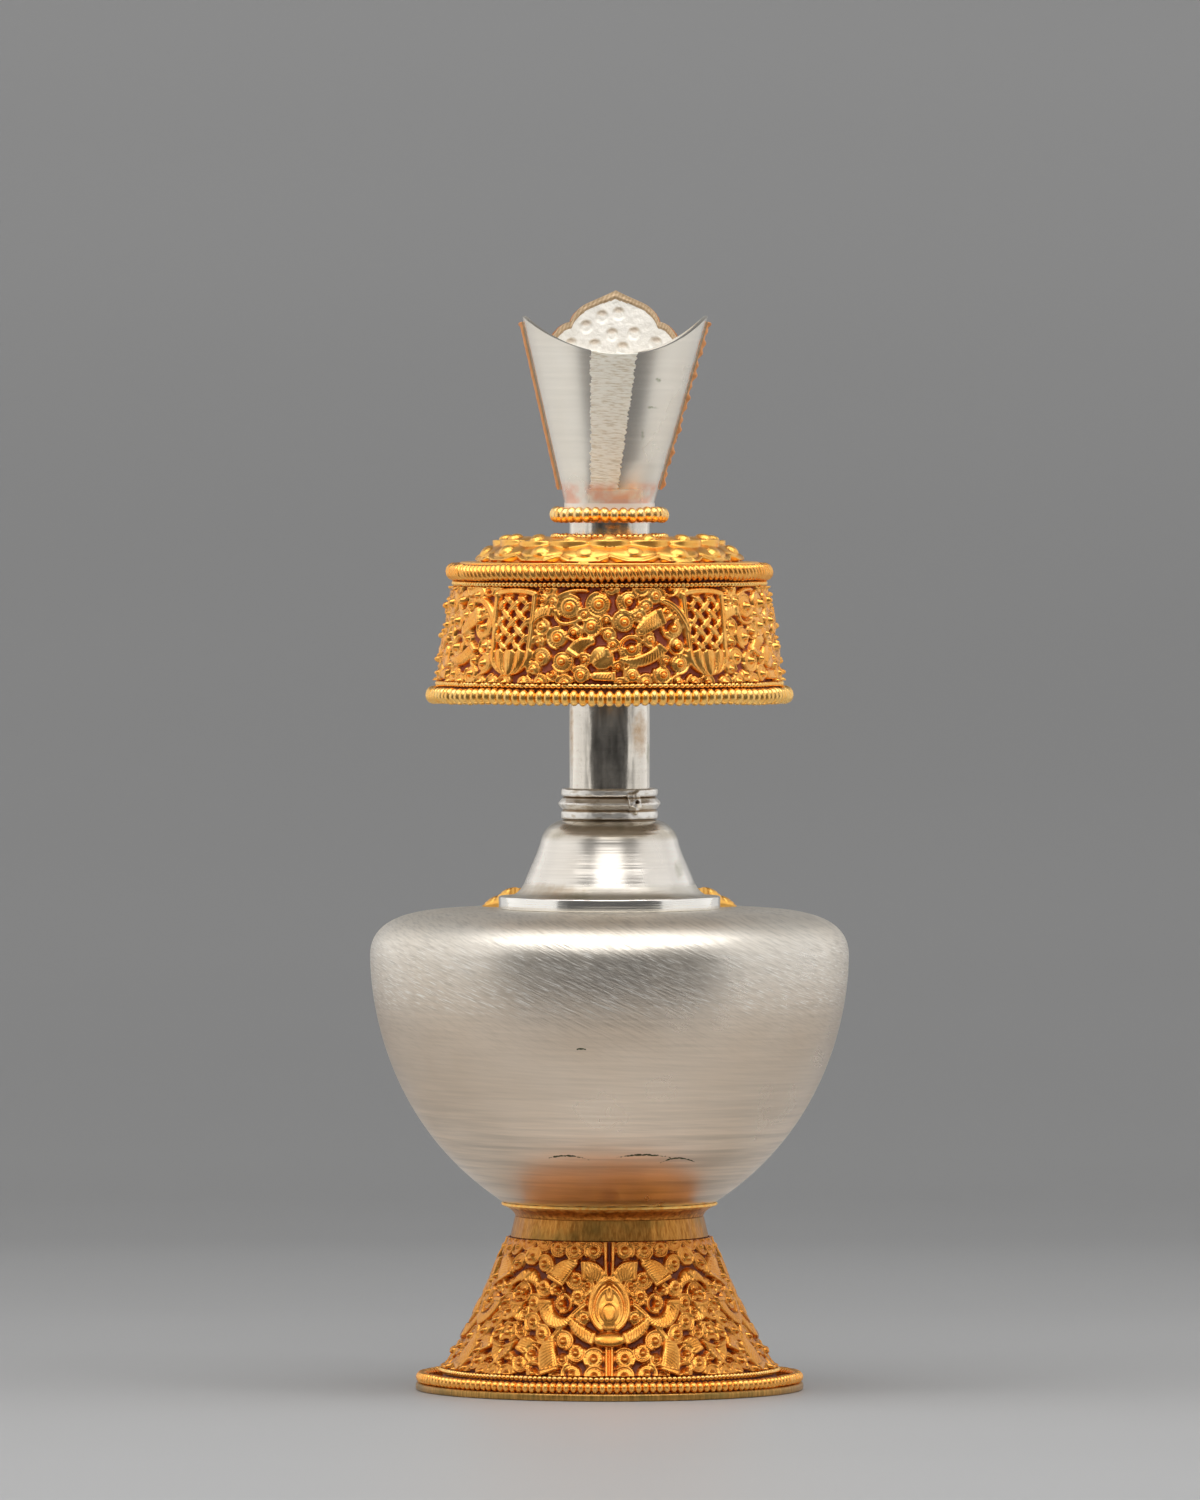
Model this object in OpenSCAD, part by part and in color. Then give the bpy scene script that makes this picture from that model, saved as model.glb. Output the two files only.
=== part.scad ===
// Ritual vase: a gilt foot, a raised silver belly, and a lift-out neck with a gilt disc and a crown mouth.
// Millimetres, +Z up. The origin is the centre of the face that the foot stands on.
// The plain side of the crown faces -Y, and the leaf and the shoulder petals are on the +Y side.

/* [Sheet metal] */
// Thickness of the raised silver sheet
silver_t = 0.9; // [0.6:0.1:1.3]
// Thickness of the gilt copper sheet
gilt_t = 0.8; // [0.5:0.1:1.2]
// Depth of the chased scrollwork over its ground
relief_t = 1.5; // [1:0.1:2.2]
// Thickness of the scrollwork's sheet between its raised motifs
sheet_t = 0.6; // [0.5:0.05:0.8]
// Solder film between pieces that nest
solder_film = 0.05; // [0.02:0.01:0.1]
// Radial gap of the lift-out neck in the mouth of the belly
spigot_gap = 0.15; // [0.1:0.01:0.3]

/* [Foot] */
// Radius of the foot rim
foot_r = 38.8; // [35:0.2:44]
// Height of the plain rim that the foot stands on
foot_rim_h = 1.5; // [1:0.1:2.5]
// Width of the rim outside the cone
foot_ledge = 4.6; // [4:0.1:6]
// Height of the cone
foot_cone_h = 29.1; // [24:0.1:36]
// Radius of the top of the cone
foot_top_r = 19.8; // [18:0.1:22]
// How far the side of the cone is hollowed at mid height
foot_hollow = 1.3; // [0:0.1:2.5]
// Diameter of the beaded wire on the rim
foot_wire_d = 2.4; // [1.8:0.1:3]
// Height of the plain collar on the cone
collar_h = 4.2; // [3:0.1:6]
// How much the collar narrows upwards
collar_taper = 1; // [0:0.1:1.5]
// Height of the flared seat under the belly
seat_h = 2.6; // [2:0.1:4]
// How much the seat widens upwards
seat_flare = 2.8; // [2:0.1:4]
// Depth of the sleeve that plugs the belly into the collar
sleeve_h = 6; // [4:0.5:9]

/* [Belly] */
// Widest radius of the belly
belly_r = 47.9; // [44:0.1:54]
// Height from the seat to the widest place
bowl_h = 49.6; // [42:0.2:58]
// Height from the widest place to the flat top
shoulder_h = 9.2; // [7:0.1:12]
// Radius of the flat on top of the shoulder
shoulder_flat_r = 30; // [28.5:0.1:34]
// Depth of the lap seam between bowl and shoulder
lap_h = 3; // [2:0.1:5]
// Solder gap round the lip of the lap seam
lap_gap = 0.4; // [0.35:0.05:0.6]
// Radius of the mouth that takes the neck
mouth_r = 16.2; // [14:0.1:18]
// Depth of the ferrule that lines the mouth
ferrule_h = 9; // [6:0.5:12]

/* [Shoulder petals] */
// Angle that the half collar of petals spans
petal_span = 125; // [90:5:140]
// Petals in each of its two rows
petal_count = 9; // [6:1:11]
// Outer radius of the half collar
petal_out_r = 29.8; // [28.6:0.1:32]
// Height of its inner edge
petal_h = 3.2; // [2.4:0.1:4.5]
// Radius of a petal's rounding
petal_r = 2; // [1.6:0.1:2.4]

/* [Neck] */
// Radius of the flange on the shoulder
flange_r = 22.2; // [20.5:0.1:24.5]
// Thickness of the flange
flange_t = 2.6; // [1.8:0.1:4]
// Height of the bell over the flange
bell_h = 15.2; // [12:0.1:20]
// Width of the flange outside the bell's flare
flange_ledge = 1.8; // [1:0.1:3]
// Height of the flare at the bell's foot
bell_flare_h = 3; // [2:0.1:4]
// Height of the bell's rounded top
bell_round_h = 4.3; // [3:0.1:6]
// Radius of the bell over its flare
bell_low_r = 16.7; // [15:0.1:18]
// Radius of the bell under its rounded top
bell_high_r = 14.3; // [12.5:0.1:15]
// Outer radius of the neck tube
neck_r = 8.1; // [7:0.1:9.5]
// Height of the moulded ring on the bell
moulding_h = 6.4; // [5:0.1:8]
// How far the moulded ring stands out of the tube
moulding_proud = 2.1; // [1.6:0.1:3]
// Height of bare tube under the disc
lower_neck_h = 17; // [12:0.2:24]
// Height of bare tube over the disc
upper_neck_h = 3.6; // [2.5:0.1:6]
// Depth of the spigot in the mouth
spigot_h = 8; // [5:0.5:11]
// How far the tube reaches into the bell
tube_socket_h = 3; // [2:0.5:5]

/* [Disc] */
// Outer radius of the scrollwork at its lower edge
disc_base_r = 35.2; // [32:0.1:40]
// Outer radius of the scrollwork at its upper edge
disc_top_r = 32.1; // [30:0.1:36]
// Height of the scrollwork band
band_h = 18.8; // [14:0.2:24]
// Diameter of the two heavy beaded wires
bead_d = 3.4; // [2.8:0.1:4]
// How far the heavy beaded wires stand out of the wall
bead_proud = 2.7; // [2.2:0.1:3.2]
// Diameter of the fine beaded wires
fine_d = 1.2; // [0.9:0.1:1.6]
// Radius of the lotus dome
cap_r = 26; // [24:0.1:28]
// Height of the lotus dome
cap_h = 5; // [4:0.1:7]
// Radius of the flat on top of the lotus dome
cap_flat_r = 17.2; // [15:0.1:19]
// Radius of the fine wire round the neck on the dome
cap_wire_r = 11.9; // [11:0.1:14]
// Radius of a lotus petal's rounding
lotus_r = 4.2; // [3.6:0.1:4.6]
// Petals in each row of the lotus dome
lotus_count = 16; // [10:1:20]

/* [Scrollwork] */
// Times that the mirrored design repeats round the foot
foot_repeats = 4; // [3:1:4]
// Times that the design repeats round the disc
band_repeats = 5; // [4:1:5]
// Width of a slanted bar in the disc's lattice panels
lattice_bar = 1.2; // [0.9:0.05:1.4]
// Spacing of the slanted bars
lattice_pitch = 2.6; // [2.4:0.1:2.8]

/* [Crown] */
// Diameter of the beads in the ring under the crown
crown_bead_d = 3.2; // [2.6:0.1:3.8]
// Beads in the ring under the crown
crown_bead_count = 36; // [28:1:40]
// Height of the crown's side tips over the ring
crown_h = 37; // [30:0.5:44]
// Outer radius of the crown at its side tips
crown_r = 18.3; // [16:0.1:21]
// How far the rim dips between the tips
crown_dip = 6.6; // [4:0.1:9]
// Height of the leaf's point over the side tips
leaf_rise = 6.4; // [4:0.1:9]
// Half width of the leaf's point
leaf_point_w = 5.4; // [3:0.1:6]
// Half width of the leaf at the cusps beside its point
leaf_cusp_w = 8.8; // [7:0.1:9.5]
// Half width of the leaf at the two dips of its edge
leaf_dip_w = 13; // [11:0.1:14.5]
// How far the dips of its edge lie under the side tips
leaf_dip_h = 4.1; // [2:0.1:6]
// Bare height between the ring and the leaf
leaf_base_h = 3.4; // [2.5:0.1:6]

/* [Hidden] */
$fn = 64;
curve_steps = 16;

// Colours of the metals
silver_tone = [0.80, 0.78, 0.74];
gilt_tone = [0.86, 0.60, 0.22];
ground_tone = [0.42, 0.20, 0.13];

// Heights of the stacked pieces
z_cone = foot_rim_h;
z_collar = z_cone + foot_cone_h;
z_seat = z_collar + collar_h;
z_bowl = z_seat + seat_h;
z_wide = z_bowl + bowl_h;
z_shoulder = z_wide + shoulder_h;
z_bell = z_shoulder + flange_t;
z_moulding = z_bell + bell_h;
z_tube = z_moulding + moulding_h;
z_disc = z_tube + lower_neck_h;
z_band = z_disc + bead_d + fine_d;
z_band_top = z_band + band_h;
z_wall = z_disc + bead_d * 0.15;
z_wall_top = z_band_top + fine_d + bead_d * 0.85;
z_cap_top = z_wall_top + cap_h;
z_ring = z_cap_top + upper_neck_h;
z_crown = z_ring + crown_bead_d;
z_tip = z_crown + crown_h;
z_leaf = z_crown + leaf_base_h;
z_point = z_tip + leaf_rise;

// Foot and seat
liner_base_r = foot_r - foot_ledge;
rim_in_r = liner_base_r - gilt_t - 1.2;
collar_top_r = foot_top_r - collar_taper;
seat_r = collar_top_r + seat_flare;
seat_lip = 0.5;
bowl_base_r = collar_top_r - gilt_t - solder_film;
bowl_seat_r = seat_r - seat_lip - solder_film;
fine_wire_z = z_cone + foot_wire_d + fine_d * 0.1;
scroll_z = fine_wire_z + fine_d / 2;

// Mouth of the belly, and the spigot in it
ferrule_r = mouth_r + silver_t;
shoulder_hole_r = ferrule_r + solder_film;
spigot_r = mouth_r - spigot_gap;
spigot_bore_r = spigot_r - silver_t;
petal_in_r = flange_r + 0.8;

// Neck tube and what is soldered to it
neck_bore_r = neck_r - silver_t;
neck_hole_r = neck_r + solder_film;
socket_r = neck_hole_r + silver_t;
z_flare = z_crown + 1;
z_tube_top = z_flare;

// Half of the foot's mirrored design, in shares of its height: ribbon leaves as four points and a half width
foot_leaves = [
    [[[0.05, 0.70], [0.08, 0.76], [0.13, 0.79], [0.21, 0.78]], 0.075],
    [[[0.27, 0.84], [0.33, 0.81], [0.39, 0.76], [0.42, 0.69]], 0.075],
    [[[0.28, 0.43], [0.38, 0.34], [0.51, 0.40], [0.50, 0.57]], 0.055],
    [[[0.44, 0.27], [0.48, 0.22], [0.50, 0.13], [0.46, 0.04]], 0.08],
    [[[0.58, 0.26], [0.64, 0.26], [0.72, 0.21], [0.76, 0.10]], 0.07],
    [[[0.56, 0.62], [0.58, 0.73], [0.61, 0.78], [0.66, 0.80]], 0.055],
    [[[0.66, 0.34], [0.71, 0.40], [0.73, 0.48], [0.70, 0.57]], 0.06],
    [[[0.29, 0.40], [0.25, 0.34], [0.19, 0.29], [0.13, 0.27]], 0.05]];

// Its rolled tendrils: place and radius
foot_curls = [[0.12, 0.89, 0.068], [0.27, 0.90, 0.06], [0.37, 0.54, 0.066], [0.24, 0.58, 0.055],
    [0.12, 0.12, 0.07], [0.26, 0.16, 0.062], [0.36, 0.26, 0.06], [0.62, 0.10, 0.07], [0.86, 0.14, 0.07]];

// The scrolls between two lattice panels of the disc, in shares of the band's height
band_leaves = [
    [[[0.31, 0.55], [0.37, 0.77], [0.61, 0.83], [0.68, 0.62]], 0.11],
    [[[-0.43, 0.54], [-0.35, 0.50], [-0.26, 0.41], [-0.18, 0.30]], 0.11],
    [[[0.13, 0.37], [0.14, 0.09], [0.40, 0.07], [0.54, 0.37]], 0.08],
    [[[-0.80, 0.36], [-0.74, 0.20], [-0.66, 0.13], [-0.50, 0.11]], 0.07],
    [[[0.53, 0.92], [0.69, 0.89], [0.79, 0.80], [0.82, 0.61]], 0.04]];
band_curls = [[-0.39, 0.78, 0.13], [-0.11, 0.81, 0.115], [0.16, 0.83, 0.10], [-0.12, 0.56, 0.09],
    [-0.62, 0.72, 0.10], [-0.60, 0.47, 0.09], [0.29, 0.36, 0.085], [-0.40, 0.25, 0.085], [0.01, 0.14, 0.10],
    [0.62, 0.44, 0.09], [0.62, 0.16, 0.09]];

// A cubic curve through its two end points, pulled towards the two points between them
function bezier(p, n = curve_steps) = [for (i = [0:n]) let (t = i / n, u = 1 - t)
    u * u * u * p[0] + 3 * u * u * t * p[1] + 3 * u * t * t * p[2] + t * t * t * p[3]];

// A point of a curve moved sideways: to the left of the curve's direction where d is positive
function beside(c, i, d) =
    let (v = c[min(i + 1, len(c) - 1)] - c[max(i - 1, 0)]) c[i] + d * [-v[1], v[0]] / norm(v);

// A whole curve moved sideways
function shifted(c, d) = [for (i = [0:len(c) - 1]) beside(c, i, d)];

function reversed(c) = [for (i = [len(c) - 1:-1:0]) c[i]];

// A curve kept under a height, or over it, so that it ends on a level seam
function kept_under(c, z) = [for (p = c) [p[0], min(p[1], z)]];
function kept_over(c, z) = [for (p = c) [p[0], max(p[1], z)]];

// Radius of the foot's cone at a height
function cone_r(z) = let (t = (z - z_cone) / foot_cone_h)
    liner_base_r + (foot_top_r - liner_base_r) * t - 4 * foot_hollow * t * (1 - t);

// Radius of the disc's wall at a height
function wall_r(z) =
    disc_base_r - relief_t - solder_film + (disc_top_r - disc_base_r) * (z - z_band) / band_h;

// Radius of the crown's outside at a height
function crown_out_r(z) = socket_r + (crown_r - socket_r) * (z - z_flare) / (z_tip - z_flare);

// The cone's side from one height to another, moved out by d
function cone_side(z0, z1, d, n = curve_steps) =
    [for (i = [0:n]) let (z = z0 + (z1 - z0) * i / n) [cone_r(z) + d, z]];

// A ribbon leaf along a curve: it widens from its root to a square end
function ribbon(p, w) = let (c = bezier(p, 3), n = len(c) - 1)
    let (half = [for (i = [0:n]) w * (0.4 + 0.6 * sin(90 * min(1, i / n / 0.6)))])
    concat([for (i = [0:n]) beside(c, i, half[i])], [for (i = [n:-1:0]) beside(c, i, -half[i])]);

function middle(p) = (p[0] + p[1] + p[2] + p[3]) / 4;

function oval(rx, rz) = [for (a = [0:30:330]) [rx * cos(a), rz * sin(a)]];

// A flat-topped motif on the scrollwork's sheet, from a place on the wall: x is the arc from the front,
// r the wall's radius there and lean the wall's slope
module raised(x, z, r, lean, top = relief_t) {
    root = sheet_t * 0.4;
    rotate([0, 0, x / r * 180 / PI]) translate([0, -r - solder_film, z]) rotate([90 - lean, 0, 0])
        translate([0, 0, root]) linear_extrude(height = top - root) children();
}

// A rolled tendril seen from its end: a bead on a round plate
module curl(x, z, r, lean, size) {
    raised(x, z, r, lean, relief_t * 0.68) circle(r = size);
    raised(x, z, r, lean) circle(r = size * 0.42);
}

module ring_of(r, h, bore) {
    difference() {
        cylinder(r = r, h = h);
        translate([0, 0, -1]) cylinder(r = bore, h = h + 2);
    }
}

// A round wire bent round the disc's wall, cut to lie on it
module wire_on_wall(z, d, proud) {
    rotate_extrude() difference() {
        translate([wall_r(z) + solder_film + proud - d / 2, z]) circle(d = d);
        polygon([[0, z - d], [wall_r(z - d) + solder_film, z - d],
            [wall_r(z + d) + solder_film, z + d], [0, z + d]]);
    }
}

// Plain rim with a rounded edge
module foot_rim() {
    color(gilt_tone) rotate_extrude() {
        translate([rim_in_r, 0]) square([foot_r - foot_rim_h / 2 - rim_in_r, foot_rim_h]);
        translate([foot_r - foot_rim_h / 2, foot_rim_h / 2]) circle(d = foot_rim_h);
    }
}

module foot_wire() {
    color(gilt_tone) rotate_extrude() difference() {
        translate([foot_r - foot_wire_d / 2, z_cone + foot_wire_d * 0.4]) circle(d = foot_wire_d);
        translate([0, z_cone - foot_wire_d]) square([foot_r * 2, foot_wire_d]);
    }
}

module foot_fine_wire() {
    color(gilt_tone) rotate_extrude()
        translate([cone_r(fine_wire_z - fine_d / 2) + solder_film + fine_d / 2, fine_wire_z])
            circle(d = fine_d);
}

module foot_liner() {
    color(ground_tone) rotate_extrude()
        polygon(concat(cone_side(z_cone, z_collar, 0), reversed(cone_side(z_cone, z_collar, -gilt_t))));
}

// Slope of the cone at a height, in degrees from upright
function cone_lean(z) = atan((cone_r(z - 1) - cone_r(z + 1)) / 2);

module foot_design() {
    h = z_collar - scroll_z;
    for (side = [-1, 1]) {
        for (leaf = foot_leaves) {
            m = middle(leaf[0]) * h;
            z = scroll_z + m[1];
            raised(side * m[0], z, cone_r(z), cone_lean(z))
                polygon([for (q = ribbon(leaf[0] * h, leaf[1] * h)) [side * (q[0] - m[0]), q[1] - m[1]]]);
        }
        for (c = foot_curls) {
            z = scroll_z + c[1] * h;
            curl(side * c[0] * h, z, cone_r(z), cone_lean(z), c[2] * h);
        }
    }
    // The bud at the front, and the bar of the garland under it
    z_bud = scroll_z + h * 0.51;
    z_bar = scroll_z + h * 0.26;
    raised(0, z_bud, cone_r(z_bud), cone_lean(z_bud), relief_t * 0.75) polygon(oval(h * 0.15, h * 0.17));
    raised(0, z_bud, cone_r(z_bud), cone_lean(z_bud)) polygon(oval(h * 0.08, h * 0.1));
    raised(0, z_bar, cone_r(z_bar), cone_lean(z_bar)) polygon(oval(h * 0.11, h * 0.055));
}

// A chased sheet with its main motifs raised
module foot_scrollwork() {
    color(gilt_tone) {
        rotate_extrude() polygon(concat(cone_side(scroll_z, z_collar, solder_film + sheet_t, 4),
            reversed(cone_side(scroll_z, z_collar, solder_film))));
        for (i = [0:foot_repeats - 1]) rotate([0, 0, 360 * i / foot_repeats]) foot_design();
    }
}

module foot_collar() {
    color(gilt_tone) rotate_extrude() polygon([[foot_top_r - gilt_t, z_collar], [foot_top_r, z_collar],
        [collar_top_r, z_seat], [collar_top_r - gilt_t, z_seat]]);
}

module foot_sleeve() {
    color(ground_tone) translate([0, 0, z_seat - sleeve_h])
        ring_of(bowl_base_r, sleeve_h, bowl_base_r - gilt_t);
}

module belly_seat() {
    color(gilt_tone) rotate_extrude() polygon([[collar_top_r - gilt_t, z_seat], [collar_top_r, z_seat],
        [seat_r, z_bowl], [seat_r - seat_lip, z_bowl]]);
}

// The bowl stands in the seat with a flat bottom and swells to the seam at its widest place
module belly_bowl() {
    side = bezier([[bowl_seat_r, z_bowl], [belly_r - 1.6, z_bowl + bowl_h * 0.33],
        [belly_r, z_wide - bowl_h * 0.13], [belly_r, z_wide]]);
    color(silver_tone) rotate_extrude() polygon(concat([[0, z_seat], [bowl_base_r, z_seat]], side,
        reversed(kept_under(shifted(side, silver_t), z_wide)),
        [[bowl_base_r - silver_t, z_seat + silver_t], [0, z_seat + silver_t]]));
}

// The shoulder closes the bowl, with a lip that laps inside it
module belly_shoulder() {
    top = bezier([[belly_r, z_wide], [belly_r, z_wide + shoulder_h * 0.7],
        [shoulder_flat_r + (belly_r - shoulder_flat_r) * 0.65, z_shoulder], [shoulder_flat_r, z_shoulder]]);
    lip_r = belly_r - silver_t - lap_gap;
    root_r = belly_r - silver_t / 2;
    color(silver_tone) rotate_extrude() {
        polygon(concat(top, [[shoulder_hole_r, z_shoulder], [shoulder_hole_r, z_shoulder - silver_t]],
            reversed(kept_over(shifted(top, silver_t), z_wide))));
        polygon([[lip_r - silver_t, z_wide - lap_h], [lip_r, z_wide - lap_h], [lip_r, z_wide],
            [root_r, z_wide], [root_r, z_wide + silver_t],
            [lip_r - silver_t, z_wide + silver_t]]);
    }
}

module mouth_ferrule() {
    color(silver_tone) translate([0, 0, z_shoulder - ferrule_h]) ring_of(ferrule_r, ferrule_h, mouth_r);
}

// Two rows of rounded petals on a sloping half collar round the far side of the flange
module shoulder_petals() {
    edge_r = petal_out_r - petal_r / 3;
    reach = petal_out_r * 3;
    color(gilt_tone) rotate([0, 0, 90]) difference() {
        union() {
            intersection() {
                rotate_extrude() polygon([[petal_in_r, z_shoulder], [edge_r, z_shoulder],
                    [edge_r, z_shoulder + gilt_t], [petal_in_r, z_shoulder + petal_h - gilt_t]]);
                linear_extrude(height = z_bell * 2) polygon([[0, 0],
                    reach * [cos(petal_span / 2), -sin(petal_span / 2)], [reach, 0],
                    reach * [cos(petal_span / 2), sin(petal_span / 2)]]);
            }
            for (i = [0:petal_count - 1]) rotate([0, 0, petal_span * ((i + 0.5) / petal_count - 0.5)]) {
                translate([petal_out_r - petal_r, 0, z_shoulder + petal_r * 0.17]) sphere(r = petal_r);
                translate([petal_in_r + petal_r * 1.07, 0, z_shoulder + petal_h - petal_r])
                    sphere(r = petal_r);
            }
        }
        cylinder(r = petal_out_r * 2, h = z_shoulder);
    }
}

module neck_spigot() {
    color(silver_tone) translate([0, 0, z_shoulder - spigot_h]) ring_of(spigot_r, spigot_h, spigot_bore_r);
}

// A flange, a flare and a rounded bell, hollow inside
module neck_bell() {
    flare_z = z_bell + bell_flare_h;
    round_z = z_moulding - bell_round_h;
    side_h = round_z - flare_z;
    flare = bezier([[flange_r - flange_ledge, z_bell], [bell_low_r + 1.6, z_bell + 0.1],
        [bell_low_r + 0.6, flare_z - bell_flare_h * 0.5], [bell_low_r, flare_z]], 8);
    side = bezier([[bell_low_r, flare_z], [bell_low_r - 0.8, flare_z + side_h * 0.3],
        [bell_high_r + 0.5, round_z - side_h * 0.3], [bell_high_r, round_z]], 8);
    top = bezier([[bell_high_r, round_z], [bell_high_r - 0.5, round_z + bell_round_h * 0.55],
        [neck_r + 3.4, z_moulding - 0.4], [neck_r + 1.5, z_moulding]], 8);
    color(silver_tone) rotate_extrude() polygon(concat(
        [[spigot_bore_r, z_shoulder], [flange_r, z_shoulder], [flange_r, z_bell]], flare, side, top,
        [[neck_hole_r, z_moulding], [neck_hole_r, z_moulding - silver_t]],
        reversed(shifted(top, silver_t)), reversed(shifted(side, silver_t))));
}

// A heavy ridge between two light ones
module neck_moulding() {
    ridge_d = moulding_h * 0.26;
    root_r = neck_r + moulding_proud * 0.45;
    color(silver_tone) rotate_extrude() difference() {
        union() {
            translate([0, z_moulding]) square([root_r, moulding_h]);
            for (z = [z_moulding + ridge_d * 0.65, z_tube - ridge_d * 0.55])
                translate([neck_r + moulding_proud * 0.7 - ridge_d / 2, z]) circle(d = ridge_d);
            polygon([[0, z_moulding + moulding_h * 0.3], [root_r, z_moulding + moulding_h * 0.3],
                [neck_r + moulding_proud * 0.95, z_moulding + moulding_h * 0.44],
                [neck_r + moulding_proud, z_moulding + moulding_h * 0.52],
                [root_r, z_moulding + moulding_h * 0.7], [0, z_moulding + moulding_h * 0.7]]);
        }
        square([neck_hole_r, z_tube + 1]);
    }
}

module neck_tube() {
    z0 = z_moulding - tube_socket_h;
    color(silver_tone) translate([0, 0, z0]) ring_of(neck_r, z_tube_top - z0, neck_bore_r);
}

module disc_wall() {
    color(ground_tone) rotate_extrude() polygon([[wall_r(z_wall) - gilt_t, z_wall], [wall_r(z_wall), z_wall],
        [wall_r(z_wall_top), z_wall_top], [wall_r(z_wall_top) - gilt_t, z_wall_top]]);
}

// A framed lattice of slanted bars, centred
module lattice(w, h) {
    gap = lattice_pitch - lattice_bar;
    step = lattice_pitch / sqrt(2);
    columns = floor((w / 2 - gap) / step);
    rows = floor((h / 2 - gap) / step);
    difference() {
        square([w, h], center = true);
        for (i = [-columns:columns], j = [-rows:rows]) if ((i + j) % 2 == 0)
            translate([i * step, j * step]) rotate(45) square(gap, center = true);
    }
}

// Half a lotus under a panel: five petals in a round-bottomed cup, from its level brim down
module half_lotus(w, h) {
    bounds = [-1, -0.68, -0.26, 0.26, 0.68, 1];
    gap = w * 0.012;
    depths = [0, 0.5, 0.85];
    for (k = [0:4]) polygon(concat(
        [for (d = depths) [bounds[k] * w / 2 * sqrt(1 - d * d) + gap, -d * h]],
        [for (d = reversed(depths)) [bounds[k + 1] * w / 2 * sqrt(1 - d * d) - gap, -d * h]]));
}

module band_design() {
    lean = atan((disc_base_r - disc_top_r) / band_h);
    z_panel = z_band + band_h * 0.65;
    z_lotus = z_band + band_h * 0.32;
    for (leaf = band_leaves) {
        m = middle(leaf[0]) * band_h;
        raised(m[0], z_band + m[1], wall_r(z_band + m[1]), lean)
            polygon([for (q = ribbon(leaf[0] * band_h, leaf[1] * band_h)) q - m]);
    }
    for (c = band_curls)
        curl(c[0] * band_h, z_band + c[1] * band_h, wall_r(z_band + c[1] * band_h), lean, c[2] * band_h);
    rotate([0, 0, 180 / band_repeats]) {
        raised(0, z_panel, wall_r(z_panel), lean) lattice(band_h * 0.46, band_h * 0.6);
        raised(0, z_lotus, wall_r(z_lotus), lean) half_lotus(band_h * 0.5, band_h * 0.27);
    }
}

// A chased sheet with its main motifs raised
module disc_scrollwork() {
    low = wall_r(z_band) + solder_film;
    high = wall_r(z_band_top) + solder_film;
    color(gilt_tone) {
        rotate_extrude() polygon([[low, z_band], [low + sheet_t, z_band],
            [high + sheet_t, z_band_top], [high, z_band_top]]);
        for (i = [0:band_repeats - 1]) rotate([0, 0, 360 * i / band_repeats]) band_design();
    }
}

module disc_underside() {
    z0 = z_wall + gilt_t;
    color(gilt_tone) translate([0, 0, z0])
        ring_of(wall_r(z0 + gilt_t) - gilt_t - solder_film, gilt_t, neck_hole_r);
}

module disc_lower_bead() {
    color(gilt_tone) wire_on_wall(z_disc + bead_d / 2, bead_d, bead_proud);
}

module disc_lower_wire() {
    color(gilt_tone) wire_on_wall(z_band - fine_d / 2, fine_d, fine_d * 0.95);
}

module disc_upper_wire() {
    color(gilt_tone) wire_on_wall(z_band_top + fine_d / 2, fine_d, fine_d * 0.95);
}

module disc_upper_bead() {
    color(gilt_tone) wire_on_wall(z_band_top + fine_d + bead_d / 2, bead_d, bead_proud);
}

// A low hollow dome with two rows of rounded petals
module disc_lotus_cap() {
    rim_r = wall_r(z_wall_top);
    dome = bezier([[cap_r, z_wall_top + gilt_t], [cap_r - 0.6, z_wall_top + cap_h * 0.6],
        [(cap_flat_r * 2 + cap_r) / 3, z_cap_top], [cap_flat_r, z_cap_top]], 5);
    color(gilt_tone) difference() {
        union() {
            rotate_extrude() polygon(concat(
                [[0, z_wall_top], [rim_r, z_wall_top], [rim_r, z_wall_top + gilt_t]],
                dome, [[0, z_cap_top]]));
            for (i = [0:lotus_count - 1]) {
                rotate([0, 0, 360 * i / lotus_count])
                    translate([cap_r - lotus_r * 0.8, 0, z_wall_top + gilt_t]) sphere(r = lotus_r);
                rotate([0, 0, 360 * (i + 0.5) / lotus_count])
                    translate([cap_flat_r + lotus_r * 0.5, 0, z_cap_top - lotus_r * 0.8])
                        sphere(r = lotus_r);
            }
        }
        translate([0, 0, z_wall_top - lotus_r * 2]) cylinder(r = rim_r, h = lotus_r * 2);
        rotate_extrude() polygon(concat([[0, z_wall_top - gilt_t], [cap_r - gilt_t, z_wall_top - gilt_t]],
            shifted(dome, gilt_t), [[0, z_cap_top - gilt_t]]));
        cylinder(r = neck_hole_r, h = z_cap_top * 2);
    }
}

module disc_cap_wire() {
    color(gilt_tone) rotate_extrude() difference() {
        translate([cap_wire_r - fine_d / 2, z_cap_top + fine_d * 0.45]) circle(d = fine_d);
        square([cap_wire_r * 2, z_cap_top]);
    }
}

// A closed ring of beads round the crown's socket
module crown_ring() {
    bead_r = crown_bead_d / 2;
    color(gilt_tone) difference() {
        for (i = [0:crown_bead_count - 1]) rotate([0, 0, 360 * i / crown_bead_count])
            translate([socket_r + bead_r * 0.9, 0, z_ring + bead_r]) sphere(r = bead_r);
        cylinder(r = socket_r + solder_film * 2, h = z_tip);
    }
}

// A flared mouth whose rim dips in front and behind, between two side tips
module crown_funnel() {
    dip_r = (crown_r * crown_r + crown_dip * crown_dip) / (2 * crown_dip);
    color(silver_tone) difference() {
        rotate_extrude() polygon([[neck_hole_r, z_ring], [socket_r, z_ring], [socket_r, z_flare],
            [crown_r, z_tip], [crown_r - silver_t, z_tip], [neck_hole_r, z_flare]]);
        translate([0, crown_r * 2, z_tip - crown_dip + dip_r]) rotate([90, 0, 0])
            cylinder(r = dip_r, h = crown_r * 4);
    }
}

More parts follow.
